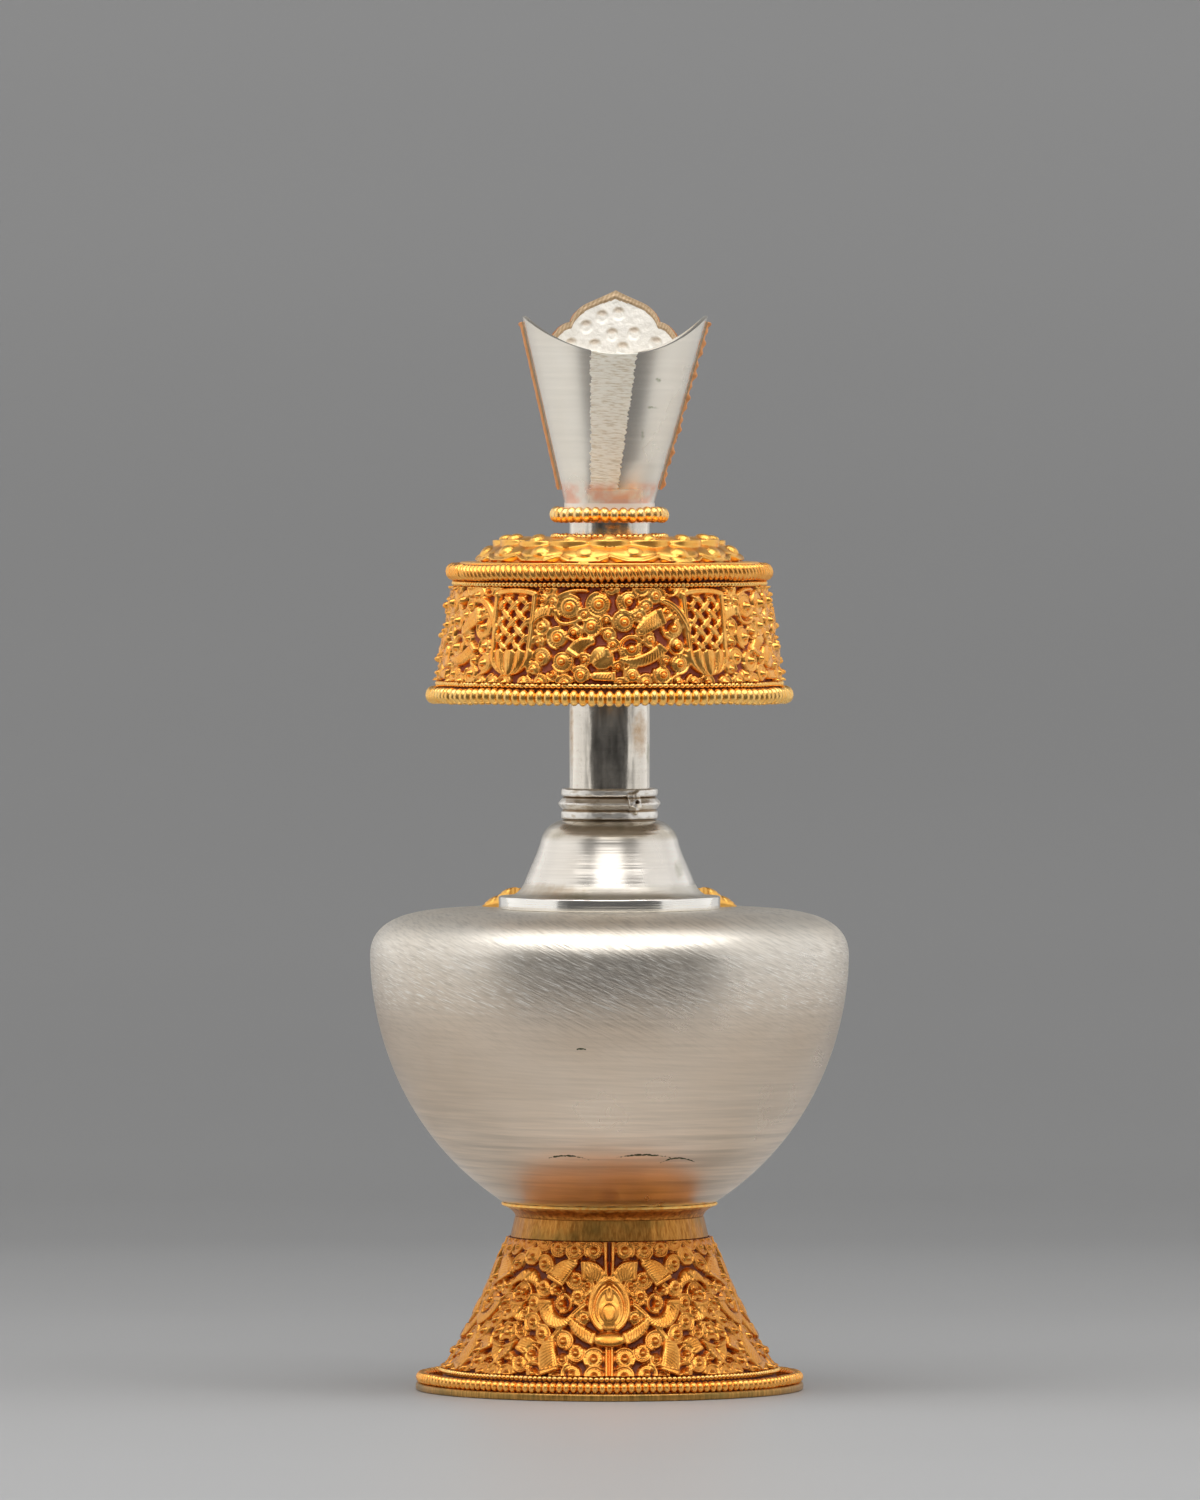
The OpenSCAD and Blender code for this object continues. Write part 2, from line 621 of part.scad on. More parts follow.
// One half of the leaf's edge, from its point down to the dip and up to the side tip
function leaf_edge() =
    let (hip = [leaf_point_w, z_point - leaf_rise * 0.4], cusp = [leaf_cusp_w, z_tip])
    let (dip = [leaf_dip_w, z_tip - leaf_dip_h], n = 6)
    concat(
        bezier([[0, z_point], [hip[0] * 0.2, z_point - leaf_rise * 0.1],
            [hip[0] * 0.6, hip[1] + 1], hip], n),
        bezier([hip, [cusp[0] - 1.6, hip[1] - 0.8], [cusp[0] - 0.3, cusp[1] + 1.4], cusp], n),
        bezier([cusp, [cusp[0] + 2.2, cusp[1] - 0.3], [dip[0] - 1.2, dip[1] + 2], dip], n),
        bezier([dip, [dip[0] + 2.3, dip[1] + 0.8],
            [crown_r - 0.8, z_tip - 1.2], [crown_r * 1.1, z_tip + 0.6]], n));

// A leaf-shaped plate on the far half of the crown
module crown_leaf() {
    edge = leaf_edge();
    z_over = z_point + 1;
    inner = solder_film;
    outer = solder_film + gilt_t;
    color(gilt_tone) intersection() {
        rotate_extrude() polygon([
            [crown_out_r(z_leaf) + inner, z_leaf], [crown_out_r(z_leaf) + outer, z_leaf],
            [crown_out_r(z_over) + outer, z_over], [crown_out_r(z_over) + inner, z_over]]);
        translate([0, crown_r * 2, 0]) rotate([90, 0, 0]) linear_extrude(height = crown_r * 2)
            polygon(concat(edge, [[crown_r * 1.5, z_tip], [crown_r * 1.5, z_leaf - 1]],
                [[-crown_r * 1.5, z_leaf - 1], [-crown_r * 1.5, z_tip]],
                reversed([for (p = edge) [-p[0], p[1]]])));
    }
}

foot_rim();
foot_wire();
foot_fine_wire();
foot_liner();
foot_scrollwork();
foot_collar();
foot_sleeve();
belly_seat();
belly_bowl();
belly_shoulder();
mouth_ferrule();
shoulder_petals();
neck_spigot();
neck_bell();
neck_moulding();
neck_tube();
disc_underside();
disc_wall();
disc_scrollwork();
disc_lower_bead();
disc_lower_wire();
disc_upper_wire();
disc_upper_bead();
disc_lotus_cap();
disc_cap_wire();
crown_ring();
crown_funnel();
crown_leaf();
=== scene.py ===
"""Silver and gilt ritual vase: smooth raised metal, chased scrollwork, beaded wires and lotus petals."""

import math

import bpy
import numpy as np
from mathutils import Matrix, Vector


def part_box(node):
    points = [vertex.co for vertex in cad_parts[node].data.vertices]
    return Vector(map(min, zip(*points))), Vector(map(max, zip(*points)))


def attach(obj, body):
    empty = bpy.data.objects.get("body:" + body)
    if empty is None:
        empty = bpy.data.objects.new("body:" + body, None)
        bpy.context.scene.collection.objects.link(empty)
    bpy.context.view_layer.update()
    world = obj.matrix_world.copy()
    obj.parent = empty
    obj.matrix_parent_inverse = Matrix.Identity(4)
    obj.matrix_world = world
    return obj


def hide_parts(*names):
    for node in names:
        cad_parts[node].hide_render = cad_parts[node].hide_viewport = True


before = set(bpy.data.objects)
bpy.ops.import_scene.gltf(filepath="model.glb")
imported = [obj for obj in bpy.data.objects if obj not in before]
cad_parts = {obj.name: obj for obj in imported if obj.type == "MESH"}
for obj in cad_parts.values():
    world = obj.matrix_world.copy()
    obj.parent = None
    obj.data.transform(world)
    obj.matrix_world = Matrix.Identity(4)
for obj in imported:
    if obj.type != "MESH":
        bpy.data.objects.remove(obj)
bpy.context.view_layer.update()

MM = 0.001
TURN = 2 * math.pi
rng = np.random.RandomState(11)


# sizes, in millimetres, read from the frame

def ring(node):
    """Outer radius, lowest and highest z of a round node."""
    low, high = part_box(node)
    return high[0] / MM, low[2] / MM, high[2] / MM


FOOT_R, _, Z_CONE = ring("foot_rim")
LINER_R, _, Z_COLLAR = ring("foot_liner")
_, Z_SCROLL, _ = ring("foot_scrollwork")
FOOT_TOP_R, _, Z_SEAT = ring("foot_collar")
SEAT_R, _, Z_BOWL = ring("belly_seat")
BELLY_R, _, Z_WIDE = ring("belly_bowl")
FERRULE_R, _, Z_SHOULDER = ring("mouth_ferrule")
FLANGE_R, _, Z_MOULDING = ring("neck_bell")
_, _, Z_TUBE = ring("neck_moulding")
NECK_R, _, Z_FLARE = ring("neck_tube")
SPIGOT_R, _, _ = ring("neck_spigot")
WALL_R, Z_WALL, Z_WALL_TOP = ring("disc_wall")
_, Z_BAND, Z_BAND_TOP = ring("disc_scrollwork")
CAP_RIM_R, Z_CAP, _ = ring("disc_lotus_cap")
_, Z_CAP_TOP, _ = ring("disc_cap_wire")
RING_R, Z_RING, Z_CROWN = ring("crown_ring")
CROWN_R, _, Z_TIP = ring("crown_funnel")
_, Z_LEAF, Z_POINT = ring("crown_leaf")

SILVER_T = 0.9        # silver sheet
GILT_T = 0.8          # gilt sheet
FILM = 0.05           # solder between nested pieces
RELIEF_T = 1.5        # depth of the scrollwork
CELL = 0.17           # grid of the chased surfaces
BORE_R = NECK_R + FILM     # bore of what sits on the tube
SEAT_LOW_R = SEAT_R - 2.8  # where the seat meets the collar


# curves and meshes

def bezier(points, n=24):
    p = [np.array(q, float) for q in points]
    t = np.linspace(0, 1, n + 1)[:, None]
    u = 1 - t
    return u ** 3 * p[0] + 3 * u * u * t * p[1] + 3 * u * t * t * p[2] + t ** 3 * p[3]


def unit(values):
    """Values held between 0 and 1."""
    return np.clip(values, 0, 1)


def hump(away, wide):
    """1 in the middle, falling to 0 at wide from it."""
    return unit(1 - (away / wide) ** 2)


def fading(away, wide):
    """1 in the middle, fading softly past wide from it."""
    return np.exp(-(away / wide) ** 2)


def circle(count):
    return np.arange(count) * TURN / count


def turned(r, angle, z):
    """Points from radii, angles and heights."""
    return np.stack([r * np.cos(angle), r * np.sin(angle), z + 0 * r * angle], axis=-1)


def lengths(path):
    """How far along a path each of its points is."""
    return np.concatenate([[0], np.cumsum(np.linalg.norm(np.diff(path, axis=0), axis=1))])


def shifted(curve, d):
    """A curve moved to the left of its direction."""
    v = np.gradient(curve, axis=0)
    v /= np.linalg.norm(v, axis=1)[:, None]
    return curve + d * np.stack([-v[:, 1], v[:, 0]], axis=1)


def rounded(corners, n=5):
    """A closed outline from (r, z, fillet) corners, each fillet a smooth bend."""
    out = []
    most = 0.49  # share of a side that one fillet may take
    for i, (r, z, f) in enumerate(corners):
        here = np.array([r, z])
        if f <= 0:
            out.append(here)
            continue
        before = np.array(corners[i - 1][:2]) - here
        after = np.array(corners[(i + 1) % len(corners)][:2]) - here
        a, b = (here + v / np.linalg.norm(v) * min(f, np.linalg.norm(v) * most) for v in (before, after))
        for k in range(n + 1):
            t = k / n
            out.append((1 - t) ** 2 * a + 2 * t * (1 - t) * here + t * t * b)
    return np.array(out)


def grid_faces(rows, columns, wrap_rows, wrap_columns):
    """Quads over a grid of points, which may close on itself either way."""
    i = np.arange(rows if wrap_rows else rows - 1)
    j = np.arange(columns if wrap_columns else columns - 1)
    i, j = np.meshgrid(i, j, indexing="ij")
    i2, j2 = (i + 1) % rows, (j + 1) % columns
    corners = [i * columns + j, i * columns + j2, i2 * columns + j2, i2 * columns + j]
    return np.stack(corners, axis=-1).reshape(-1, 4)


def link_object(name, data):
    obj = bpy.data.objects.new(name, data)
    bpy.context.scene.collection.objects.link(obj)
    return obj


def piece(name, verts, faces, material, body, nodes=(), sharp=45, values=None):
    """A smooth mesh object in the frame, from millimetres, that rides on a body and stands for CAD nodes."""
    mesh = bpy.data.meshes.new(name)
    verts = np.asarray(verts, float).reshape(-1, 3) * MM
    mesh.from_pydata(verts.tolist(), [], [list(map(int, f)) for f in faces])
    if values is not None:
        attribute = mesh.attributes.new("relief", "FLOAT", "POINT")
        attribute.data.foreach_set("value", np.asarray(values, np.float32).ravel())
    mesh.validate()
    mesh.shade_smooth()
    mesh.set_sharp_from_angle(angle=math.radians(sharp))
    mesh.materials.append(material)
    obj = link_object(name, mesh)
    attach(obj, body)
    if nodes:
        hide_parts(*nodes)


def lathe(name, outline, material, body, nodes=(), segments=192, sharp=45, wobble=None):
    """A turned piece from a closed (r, z) outline that goes round anticlockwise."""
    angle = circle(segments)
    r, z = outline[:, 0:1], outline[:, 1:2]
    if wobble is not None:
        r = r + wobble(angle, z)
    faces = grid_faces(len(outline), segments, True, True)
    piece(name, turned(r, angle, z), faces, material, body, nodes, sharp)


def capped_faces(rows, columns):
    """Quads over a grid that closes round, and triangles to the two end points that follow the grid's."""
    faces = grid_faces(rows, columns, False, True).tolist()
    first, last = rows * columns, rows * columns + 1
    top = first - columns
    for j in range(columns):
        k = (j + 1) % columns
        faces += [[first, k, j], [last, top + j, top + k]]
    return faces


def bowl_shape(name, outline, material, body, nodes=(), segments=224):
    """A turned piece whose outline starts and ends on the axis."""
    rows = outline[1:-1]
    verts = turned(rows[:, 0:1], circle(segments), rows[:, 1:2]).reshape(-1, 3)
    verts = np.vstack([verts, [0, 0, outline[0, 1]], [0, 0, outline[-1, 1]]])
    piece(name, verts, capped_faces(len(rows), segments), material, body, nodes)


MILLED = 0.84         # how far a heavy wire's beads are cut apart
FINE = {"steps": 6, "around": 8}  # points along and round a bead of a fine wire
WIRE_R = 1.55         # most that a wire's section reaches across from its middle


def wire_of(node):
    """Centre and half sizes of a round wire's section, each as (r, z)."""
    outer, low, high = ring(node)
    half_z = (high - low) / 2
    half_r = min(half_z, WIRE_R)
    return (outer - half_r, low + half_z), (half_r, half_z)


def beaded_ring(name, node, body, material, centre, half, count, pinch=0.9, slant=0.0, steps=8, around=12):
    """A wire milled into beads: centre and half sizes as (r, z), a little uneven from bead to bead."""
    angle, turn = circle(count * steps), circle(around)
    phase = np.arange(count * steps)[None, :] / steps + slant * np.sin(turn)[:, None]
    size = np.sqrt(1 - (pinch * (2 * (phase % 1) - 1)) ** 2)
    uneven, wave = 0.06, 0.05
    each = 1 + uneven * rng.uniform(-1, 0.4, count)
    size = size * each[np.floor(phase).astype(int) % count]
    bend = wave * half[1] * (np.sin(5 * angle + count) + 0.7 * np.sin(13 * angle))
    r = centre[0] + half[0] * size * np.cos(turn)[:, None]
    z = centre[1] + half[1] * size * np.sin(turn)[:, None] + bend
    faces = grid_faces(around, count * steps, True, True)[:, ::-1]
    piece(name, turned(r, angle, z), faces, material, body, [node], 80, size)


# chased relief, drawn as heights on a grid

NEIGHBOURS = ((-1, 0), (1, 0), (0, -1), (0, 1), (-1, -1), (-1, 1), (1, -1), (1, 1))
BARE = 0.1            # heights up to this count as bare ground


def reach_of(solid, step, limit):
    """Distance of each cell from the nearest solid one, counted in steps over the grid's eight neighbours."""
    far = np.where(solid, 0.0, limit)
    rows, columns = far.shape
    for _ in range(int(limit / step) + 1):
        pad = np.pad(far, 1, constant_values=limit)
        for di, dj in NEIGHBOURS:
            near = pad[1 + di:1 + di + rows, 1 + dj:1 + dj + columns]
            far = np.minimum(far, near + step * math.hypot(di, dj))
    return far


class Relief:
    """Heights in millimetres over one sector of a round wall, drawn from motifs."""

    def __init__(self, angle, z, radius, places):
        self.angle, self.z, self.radius, self.places = angle, z, radius, places
        self.h = np.zeros((len(z), len(angle)))
        self.open = np.zeros(self.h.shape, bool)
        self.place(*places[0])

    def place(self, sign, shift):
        """Says where the motifs' x counts from: x is an arc length at each height."""
        self.x = sign * (self.angle[None, :] - shift) * self.radius[:, None]

    def repeat(self, motif, *values):
        """Draws a motif here and in the neighbouring sectors."""
        for sign, shift in self.places:
            self.place(sign, shift)
            motif(*values)
        self.place(*self.places[0])

    def window(self, x, z, reach):
        """The part of the grid within reach of a place, or None."""
        rows = slice(*np.searchsorted(self.z, [z - reach, z + reach]))
        near = np.flatnonzero((np.abs(self.x[rows] - x) < reach).any(axis=0))
        return (rows, slice(near[0], near[-1] + 1)) if len(near) else None

    def lift(self, part, height):
        self.h[part] = np.maximum(self.h[part], height)

    def local(self, part, x, z):
        return self.x[part] - x, self.z[part[0], None] - z

    def boss(self, x, z, half_x, half_z, base, top, power=0.5):
        part = self.window(x, z, max(half_x, half_z))
        if part:
            dx, dz = self.local(part, x, z)
            inside = unit(1 - (dx / half_x) ** 2 - (dz / half_z) ** 2)
            self.lift(part, np.where(inside > 0, base + (top - base) * inside ** power, 0))

    def curl(self, x, z, r, hand=1, phase=0.0, slit=False):
        """A rolled tendril: a milled plate that winds in to a high bead; a slit one has an open crescent."""
        part = self.window(x, z, r)
        if part is None:
            return
        dx, dz = self.local(part, x, z)
        d = np.hypot(dx, dz)
        turn = (hand * np.arctan2(dz, dx) / TURN + phase) % 1
        bead_r = min(max(0.37 * r, 0.46), 0.85)
        rim_z, dish, mill, mill_pitch, line_w = 0.76, 0.26, 0.05, 0.55, 0.15
        plate = rim_z + dish * (1 - d / r)
        plate += mill * np.cos(TURN * turn * round(TURN * r * 0.8 / mill_pitch))
        for lap in (0, 1):
            line = r * (0.95 - 0.34 * (turn + lap))
            plate -= line_w * fading(d - line, line_w) * (line > bead_r)
        if slit:
            middle, wide = (bead_r + 0.8 * r) / 2, (0.8 * r - bead_r) / 2
            plate -= unit(hump(d - middle, wide) * hump(turn - 0.3, 0.2) * 2.5)
        plate *= unit((r - d) / 0.22) ** 0.5
        bead = 0.9 + np.sqrt(np.clip(bead_r ** 2 - d ** 2, 0, None)) * 1.5
        self.lift(part, np.where(d < r, np.maximum(plate, np.where(d < bead_r, bead, 0)), 0))

    def wrap(self, x, z, r, start, span, width=0.3, top=1.0):
        """A stem that hugs a round motif."""
        turn = start + span * np.linspace(0, 1, max(6, int(abs(span) * 30)))
        grown = r + 0.25 * width * np.linspace(1, 3, len(turn))
        path = np.stack([x + grown * np.cos(TURN * turn), z + grown * np.sin(TURN * turn)], axis=1)
        self.ridge(path, width, top)

    def along(self, path):
        """The window round a path, with the distance from it, the side, and how far along it each cell is."""
        widest = 3.2
        low, high = path.min(axis=0), path.max(axis=0)
        part = self.window(*(low + high) / 2, np.linalg.norm(high - low) / 2 + widest)
        if part is None:
            return None
        x, z = self.x[part], self.z[part[0], None] + 0 * self.x[part]
        best = np.full(x.shape, 1e9)
        side, where = np.zeros(x.shape), np.zeros(x.shape)
        length = lengths(path)
        for a, b, start in zip(path[:-1], path[1:], length):
            e = b - a
            size = np.linalg.norm(e)
            t = unit(((x - a[0]) * e[0] + (z - a[1]) * e[1]) / size ** 2)
            d = np.hypot(x - a[0] - t * e[0], z - a[1] - t * e[1])
            closer = d < best
            best = np.where(closer, d, best)
            side = np.where(closer, np.sign((x - a[0]) * e[1] - (z - a[1]) * e[0]), side)
            where = np.where(closer, start + t * size, where)
        return part, best, side, where, length[-1]

    def ridge(self, path, width, top, groove=0.0):
        found = self.along(path)
        if found:
            part, d = found[:2]
            cut = groove * fading(d, 0.14)
            self.lift(part, np.where(d < width, top * hump(d, width) ** 0.4 - cut, 0))

    def stem(self, points, width=0.55, top=1.1, groove=0.0):
        self.ridge(bezier(points, 16), width, top, groove)

    def leaf(self, points, width, top=1.35, tilt=0.3, root=0.35):
        """A hatched ribbon leaf: it widens from its root, leans to one side, and its square end is rolled."""
        found = self.along(bezier(points, 20))
        if found is None:
            return
        part, d, side, where, length = found
        t = unit(where / length)
        half = width * (root + (1 - root) * np.sin(math.pi / 2 * unit(t / 0.6)))
        s = side * d / half
        hatch_pitch, line_w, roll_r = 0.6, 0.15, 0.5
        hatch = 0.10 * np.cos(TURN * (where + 0.6 * side * d) / hatch_pitch) * (np.abs(s) < 0.7)
        line = line_w * fading((np.abs(s) - 0.76) * half, line_w)
        body = top - 0.2 + tilt * s * np.sin(math.pi * np.clip(t, 0.1, 0.9)) + hatch - line
        roll = hump(length - where - roll_r, roll_r) ** 0.5
        body = np.where(length - where < 2 * roll_r, top - 0.35 + 0.5 * roll, body)
        edge = unit((half - d) / 0.18) ** 0.5
        inside = (d < half) & (where < length - 1e-6)
        self.lift(part, np.where(inside, np.clip(body * edge, 0, RELIEF_T), 0))

    def lattice(self, x, z, width, height, pitch=2.3, bar=1.15):
        """Flat bars woven slantwise, each with a fine line along it; the gaps between them stay open."""
        part = self.window(x, z, max(width, height) / 2)
        if part is None:
            return
        dx, dz = self.local(part, x, z)
        inside = (np.abs(dx) < width / 2) & (np.abs(dz) < height / 2)
        slant = [(dx + dz) / math.sqrt(2) / pitch + 0.5, (dx - dz) / math.sqrt(2) / pitch + 0.5]
        over = (np.floor(slant[0]) + np.floor(slant[1])) % 2
        for top, u in ((1.1 + 0.28 * over, slant[0]), (1.38 - 0.28 * over, slant[1])):
            d = np.abs(u % 1 - 0.5) * pitch
            body = top * unit((bar / 2 - d) / 0.16) ** 0.4 - 0.18 * fading(d, 0.14)
            self.lift(part, np.where(inside & (d < bar / 2), body, 0))
        self.open[part] |= inside

    def lotus(self, x, z, width, height):
        """A half lotus under a motif: a round-bottomed cup of five petals, from its level brim at z."""
        part = self.window(x, z - height / 2, width * 0.56)
        if part is None:
            return
        dx, dz = self.local(part, x, z)
        deep = np.clip(-dz / height, 0, 0.999)
        u = dx / (width / 2 * np.sqrt(1 - deep ** 2))
        bounds = np.array([-1, -0.68, -0.26, 0.26, 0.68, 1])
        k = np.clip(np.searchsorted(bounds, u) - 1, 0, 4)
        local = (u - (bounds[k] + bounds[k + 1]) / 2) / ((bounds[k + 1] - bounds[k]) / 2)
        brim = dz < 0.5 * (1 - local ** 2)
        body = 0.8 + 0.65 * np.sqrt(hump(local, 1)) - 0.3 * np.abs(u) ** 3 - 0.2 * deep ** 3
        body += 0.04 * np.cos(TURN * dx / 0.55)
        self.lift(part, np.where((np.abs(u) < 1) & brim & (dz > -height), body, 0))

    def fill(self, largest, smallest=0.9):
        """Curls in what is still bare, the widest bare place first, each with a stem hugging it."""
        most, uneven, least_curl = 400, 0.06, 0.62
        for _ in range(most):
            room = reach_of((self.h > BARE) | self.open, CELL, largest + 0.6)
            room = room * (1 + uneven * rng.uniform(-1, 1, room.shape))
            i, j = np.unravel_index(np.argmax(room), room.shape)
            if room[i, j] < smallest:
                break
            r = min(room[i, j], largest) - (0.22 if room[i, j] > 1.0 else -0.12)
            x, z = self.x[i, j], self.z[i]
            hand, phase = rng.choice([-1, 1]), rng.uniform()
            if r > least_curl:
                self.repeat(self.curl, x, z, r, hand, phase, r > 1.2 and phase > 0.6)
                self.repeat(self.wrap, x, z, r, phase, 0.62 * hand)
            else:
                self.repeat(self.boss, x, z, r * 1.1, r * 1.1, 0.5, 1.15)

    def web(self, width=0.2, top=0.62):
        """Sheet left between the motifs, so that only small pockets go down to the ground."""
        gap = reach_of(self.h > BARE, CELL, width * 3)
        bare = (self.h <= BARE) & ~self.open
        self.h = np.where(bare & (gap < width), top - 0.3 * gap / width, self.h)

    def softened(self):
        """The heights with the grid's steps taken off."""
        pad = np.pad(self.h, 1, mode="edge")
        return 0.5 * self.h + 0.125 * (pad[:-2, 1:-1] + pad[2:, 1:-1] + pad[1:-1, :-2] + pad[1:-1, 2:])


def chased_wall(name, node, body, material, z, radius, heights, back):
    """A closed skin: the relief outside, and inside a plain wall under it by back."""
    columns = heights.shape[1]
    levels = np.linspace(len(z) - 1, 0, 16).astype(int)
    inside = np.repeat(radius[levels, None] - back, columns, axis=1)
    r = np.vstack([radius[:, None] + heights, inside])
    verts = turned(r, -math.pi / 2 + circle(columns), np.concatenate([z, z[levels]])[:, None])
    values = np.vstack([heights, 0 * inside]) / RELIEF_T
    piece(name, verts, grid_faces(len(r), columns, True, True), material, body, [node], 180, values)


# materials

def grey(value):
    return (value, value, value)


class Look:
    """A node material with short helpers; places are in object space, which is the frame."""

    def __init__(self, name):
        self.material = bpy.data.materials.new(name)
        self.material.use_nodes = True
        self.tree = self.material.node_tree
        self.shader = self.tree.nodes["Principled BSDF"]
        self.place = self.add("ShaderNodeTexCoord").outputs["Object"]
        self.split = self.add("ShaderNodeSeparateXYZ")
        self.link(self.place, self.split, 0)
        self.colour = self.roughness = self.normal = None

    def add(self, kind, **settings):
        node = self.tree.nodes.new(kind)
        for key, value in settings.items():
            setattr(node, key, value)
        return node

    def link(self, source, node, socket):
        self.tree.links.new(source, node.inputs[socket])

    def feed(self, socket, value):
        """Links a socket to another one, or sets it to a number or a colour."""
        if isinstance(value, bpy.types.NodeSocket):
            self.tree.links.new(value, socket)
        else:
            socket.default_value = (*value, 1) if isinstance(value, (tuple, list)) else value

    def noise(self, scale, detail=3.0, stretch=(1, 1, 1), turn=0):
        """Noise with spots of about 1 / scale mm; turn tips it about Y before it is stretched."""
        mapping = self.add("ShaderNodeMapping", vector_type="TEXTURE")
        mapping.inputs["Scale"].default_value = [MM / (s * scale) for s in stretch]
        mapping.inputs["Rotation"].default_value = (0, math.radians(turn), 0)
        self.link(self.place, mapping, "Vector")
        node = self.add("ShaderNodeTexNoise")
        node.inputs["Scale"].default_value = 1.0
        node.inputs["Detail"].default_value = detail
        self.link(mapping.outputs[0], node, "Vector")
        return node.outputs["Fac"]

    def ramp(self, value, *stops):
        """A ramp through (position, tone) stops; a tone is a colour or a grey."""
        node = self.add("ShaderNodeValToRGB")
        elements = node.color_ramp.elements
        while len(elements) < len(stops):
            elements.new(0.5)
        for element, (position, tone) in zip(elements, stops):
            element.position = position
            element.color = (*(tone if isinstance(tone, tuple) else grey(tone)), 1)
        self.link(value, node, "Fac")
        return node.outputs["Color"]

    def mix(self, factor, a, b, blend="MIX"):
        node = self.add("ShaderNodeMix", data_type="RGBA", blend_type=blend)
        for socket, value in zip((0, 6, 7), (factor, a, b)):
            self.feed(node.inputs[socket], value)
        return node.outputs[2]

    def calc(self, operation, *values):
        node = self.add("ShaderNodeMath", operation=operation)
        for socket, value in zip(node.inputs, values):
            self.feed(socket, value)
        return node.outputs[0]

    def both(self, first, *others):
        """The product of masks."""
        for other in others:
            first = self.calc("MULTIPLY", first, other)
        return first

    def step(self, value, low, high, kind="SMOOTHSTEP"):
        """A step from 0 at low to 1 at high; low may be the larger."""
        node = self.add("ShaderNodeMapRange", interpolation_type=kind)
        node.inputs["From Min"].default_value = low
        node.inputs["From Max"].default_value = high
        self.link(value, node, 0)
        return node.outputs[0]

    def axis(self, letter):
        return self.split.outputs[letter]

    def level(self, low, high):
        """A soft step over the height, from 0 at low to 1 at high, in millimetres."""
        return self.step(self.axis("Z"), low * MM, high * MM)

    def near(self):
        """1 on the vase's near half."""
        return self.step(self.axis("Y"), 2 * MM, -2 * MM)

    def within(self, letter, low, high, soft):
        """1 between two millimetre values of a coordinate, falling to 0 over soft."""
        value = self.axis(letter)
        up = self.step(value, (low - soft) * MM, low * MM)
        return self.both(up, self.step(value, (high + soft) * MM, high * MM))

    def spot(self, x, z, half_x, half_z, ragged=0.8, grain=0.9, bow=0.0, fade=0.5):
        """1 in a ragged oval on the near side, its middle line bowed up, full within fade of its size."""
        u = self.calc("DIVIDE", self.calc("SUBTRACT", self.axis("X"), x * MM), half_x * MM)
        u = self.both(u, u)
        z = self.calc("MULTIPLY_ADD", u, -bow * MM, (z + bow) * MM)
        v = self.calc("DIVIDE", self.calc("SUBTRACT", self.axis("Z"), z), half_z * MM)
        d = self.calc("ADD", u, self.both(v, v))
        d = self.calc("MULTIPLY_ADD", self.calc("SUBTRACT", self.noise(grain, 3), 0.5), 4 * ragged, d)
        return self.both(self.step(d, 1.2, fade), self.near())

    def relief(self):
        """The value that a chased piece keeps at its points."""
        return self.add("ShaderNodeAttribute", attribute_name="relief").outputs["Fac"]

    def paint(self, mask, tint):
        self.colour = self.mix(mask, self.colour, tint)

    def shade(self, tint, mask=1.0):
        self.colour = self.mix(mask, self.colour, tint, "MULTIPLY")

    def matt(self, mask, rough):
        self.roughness = self.mix(mask, self.roughness, grey(rough))

    def press(self, value, depth):
        """Adds bumps of a depth in millimetres."""
        node = self.add("ShaderNodeBump")
        node.inputs["Distance"].default_value = depth * MM
        self.link(value, node, "Height")
        if self.normal is not None:
            self.link(self.normal, node, "Normal")
        self.normal = node.outputs["Normal"]

    def stains(self, spots, strength, ragged, grain, fade, rough=None):
        """Soft stains, each given as x, z, its half sizes and its tint."""
        for x, z, half_x, half_z, tint in spots:
            mark = self.both(self.spot(x, z, half_x, half_z, ragged, grain, 0, fade), strength)
            self.paint(mark, tint)
            if rough:
                self.matt(mark, rough)

    def finish(self, metallic=1.0):
        for socket, value in (("Base Color", self.colour), ("Roughness", self.roughness),
                              ("Metallic", metallic), ("Normal", self.normal)):
            if value is not None:
                self.feed(self.shader.inputs[socket], value)
        return self.material


SILVER = (0.82, 0.77, 0.69)
PALE_SILVER = (0.88, 0.84, 0.78)
# Tint of the painted warm reflection of the table and gilt on the lower belly
WARM_REFLECTION_TINT = (0.88, 0.79, 0.715)
TAN = (0.52, 0.33, 0.17)
OLIVE = (0.36, 0.35, 0.25)
VERDIGRIS = (0.24, 0.28, 0.16)
CRACK = (0.05, 0.07, 0.035)
GOLD = (0.98, 0.38, 0.06)
BRIGHT_GOLD = (1.0, 0.54, 0.14)
YELLOW_GOLD = (0.98, 0.49, 0.10)
PALE_GOLD = (1.0, 0.67, 0.23)
DEEP_GOLD = (0.50, 0.165, 0.03)
FOOT_GOLD = (0.62, 0.23, 0.035)
FOOT_LIGHT = (0.82, 0.38, 0.08)
GROUND = (0.40, 0.10, 0.055)
COPPER = (0.82, 0.46, 0.33)

# What a point of the crown's leaf is, as the value that its material reads
LEAF_PALE, LEAF_BRIM, LEAF_COPPER, LEAF_GILT = 0.36, 0.42, 0.54, 0.60


def worked_silver(name, tint, rough, lines, depth):
    """Starts a silver look with a cloudy polish and turned lines."""
    look = Look(name)
    clouds = look.ramp(look.noise(0.045, 4), (0.35, 0), (0.7, 1))
    turned_lines = look.noise(lines, 2, (0.02, 0.02, 1))
    look.colour = look.mix(clouds, tint, [c * k for c, k in zip(tint, (0.96, 0.93, 0.89))])
    look.shade(look.ramp(turned_lines, (0.3, 0.93), (0.7, 1.0)))
    look.roughness = look.mix(clouds, grey(rough * 0.85), grey(rough * 1.2))
    look.press(turned_lines, depth)
    return look


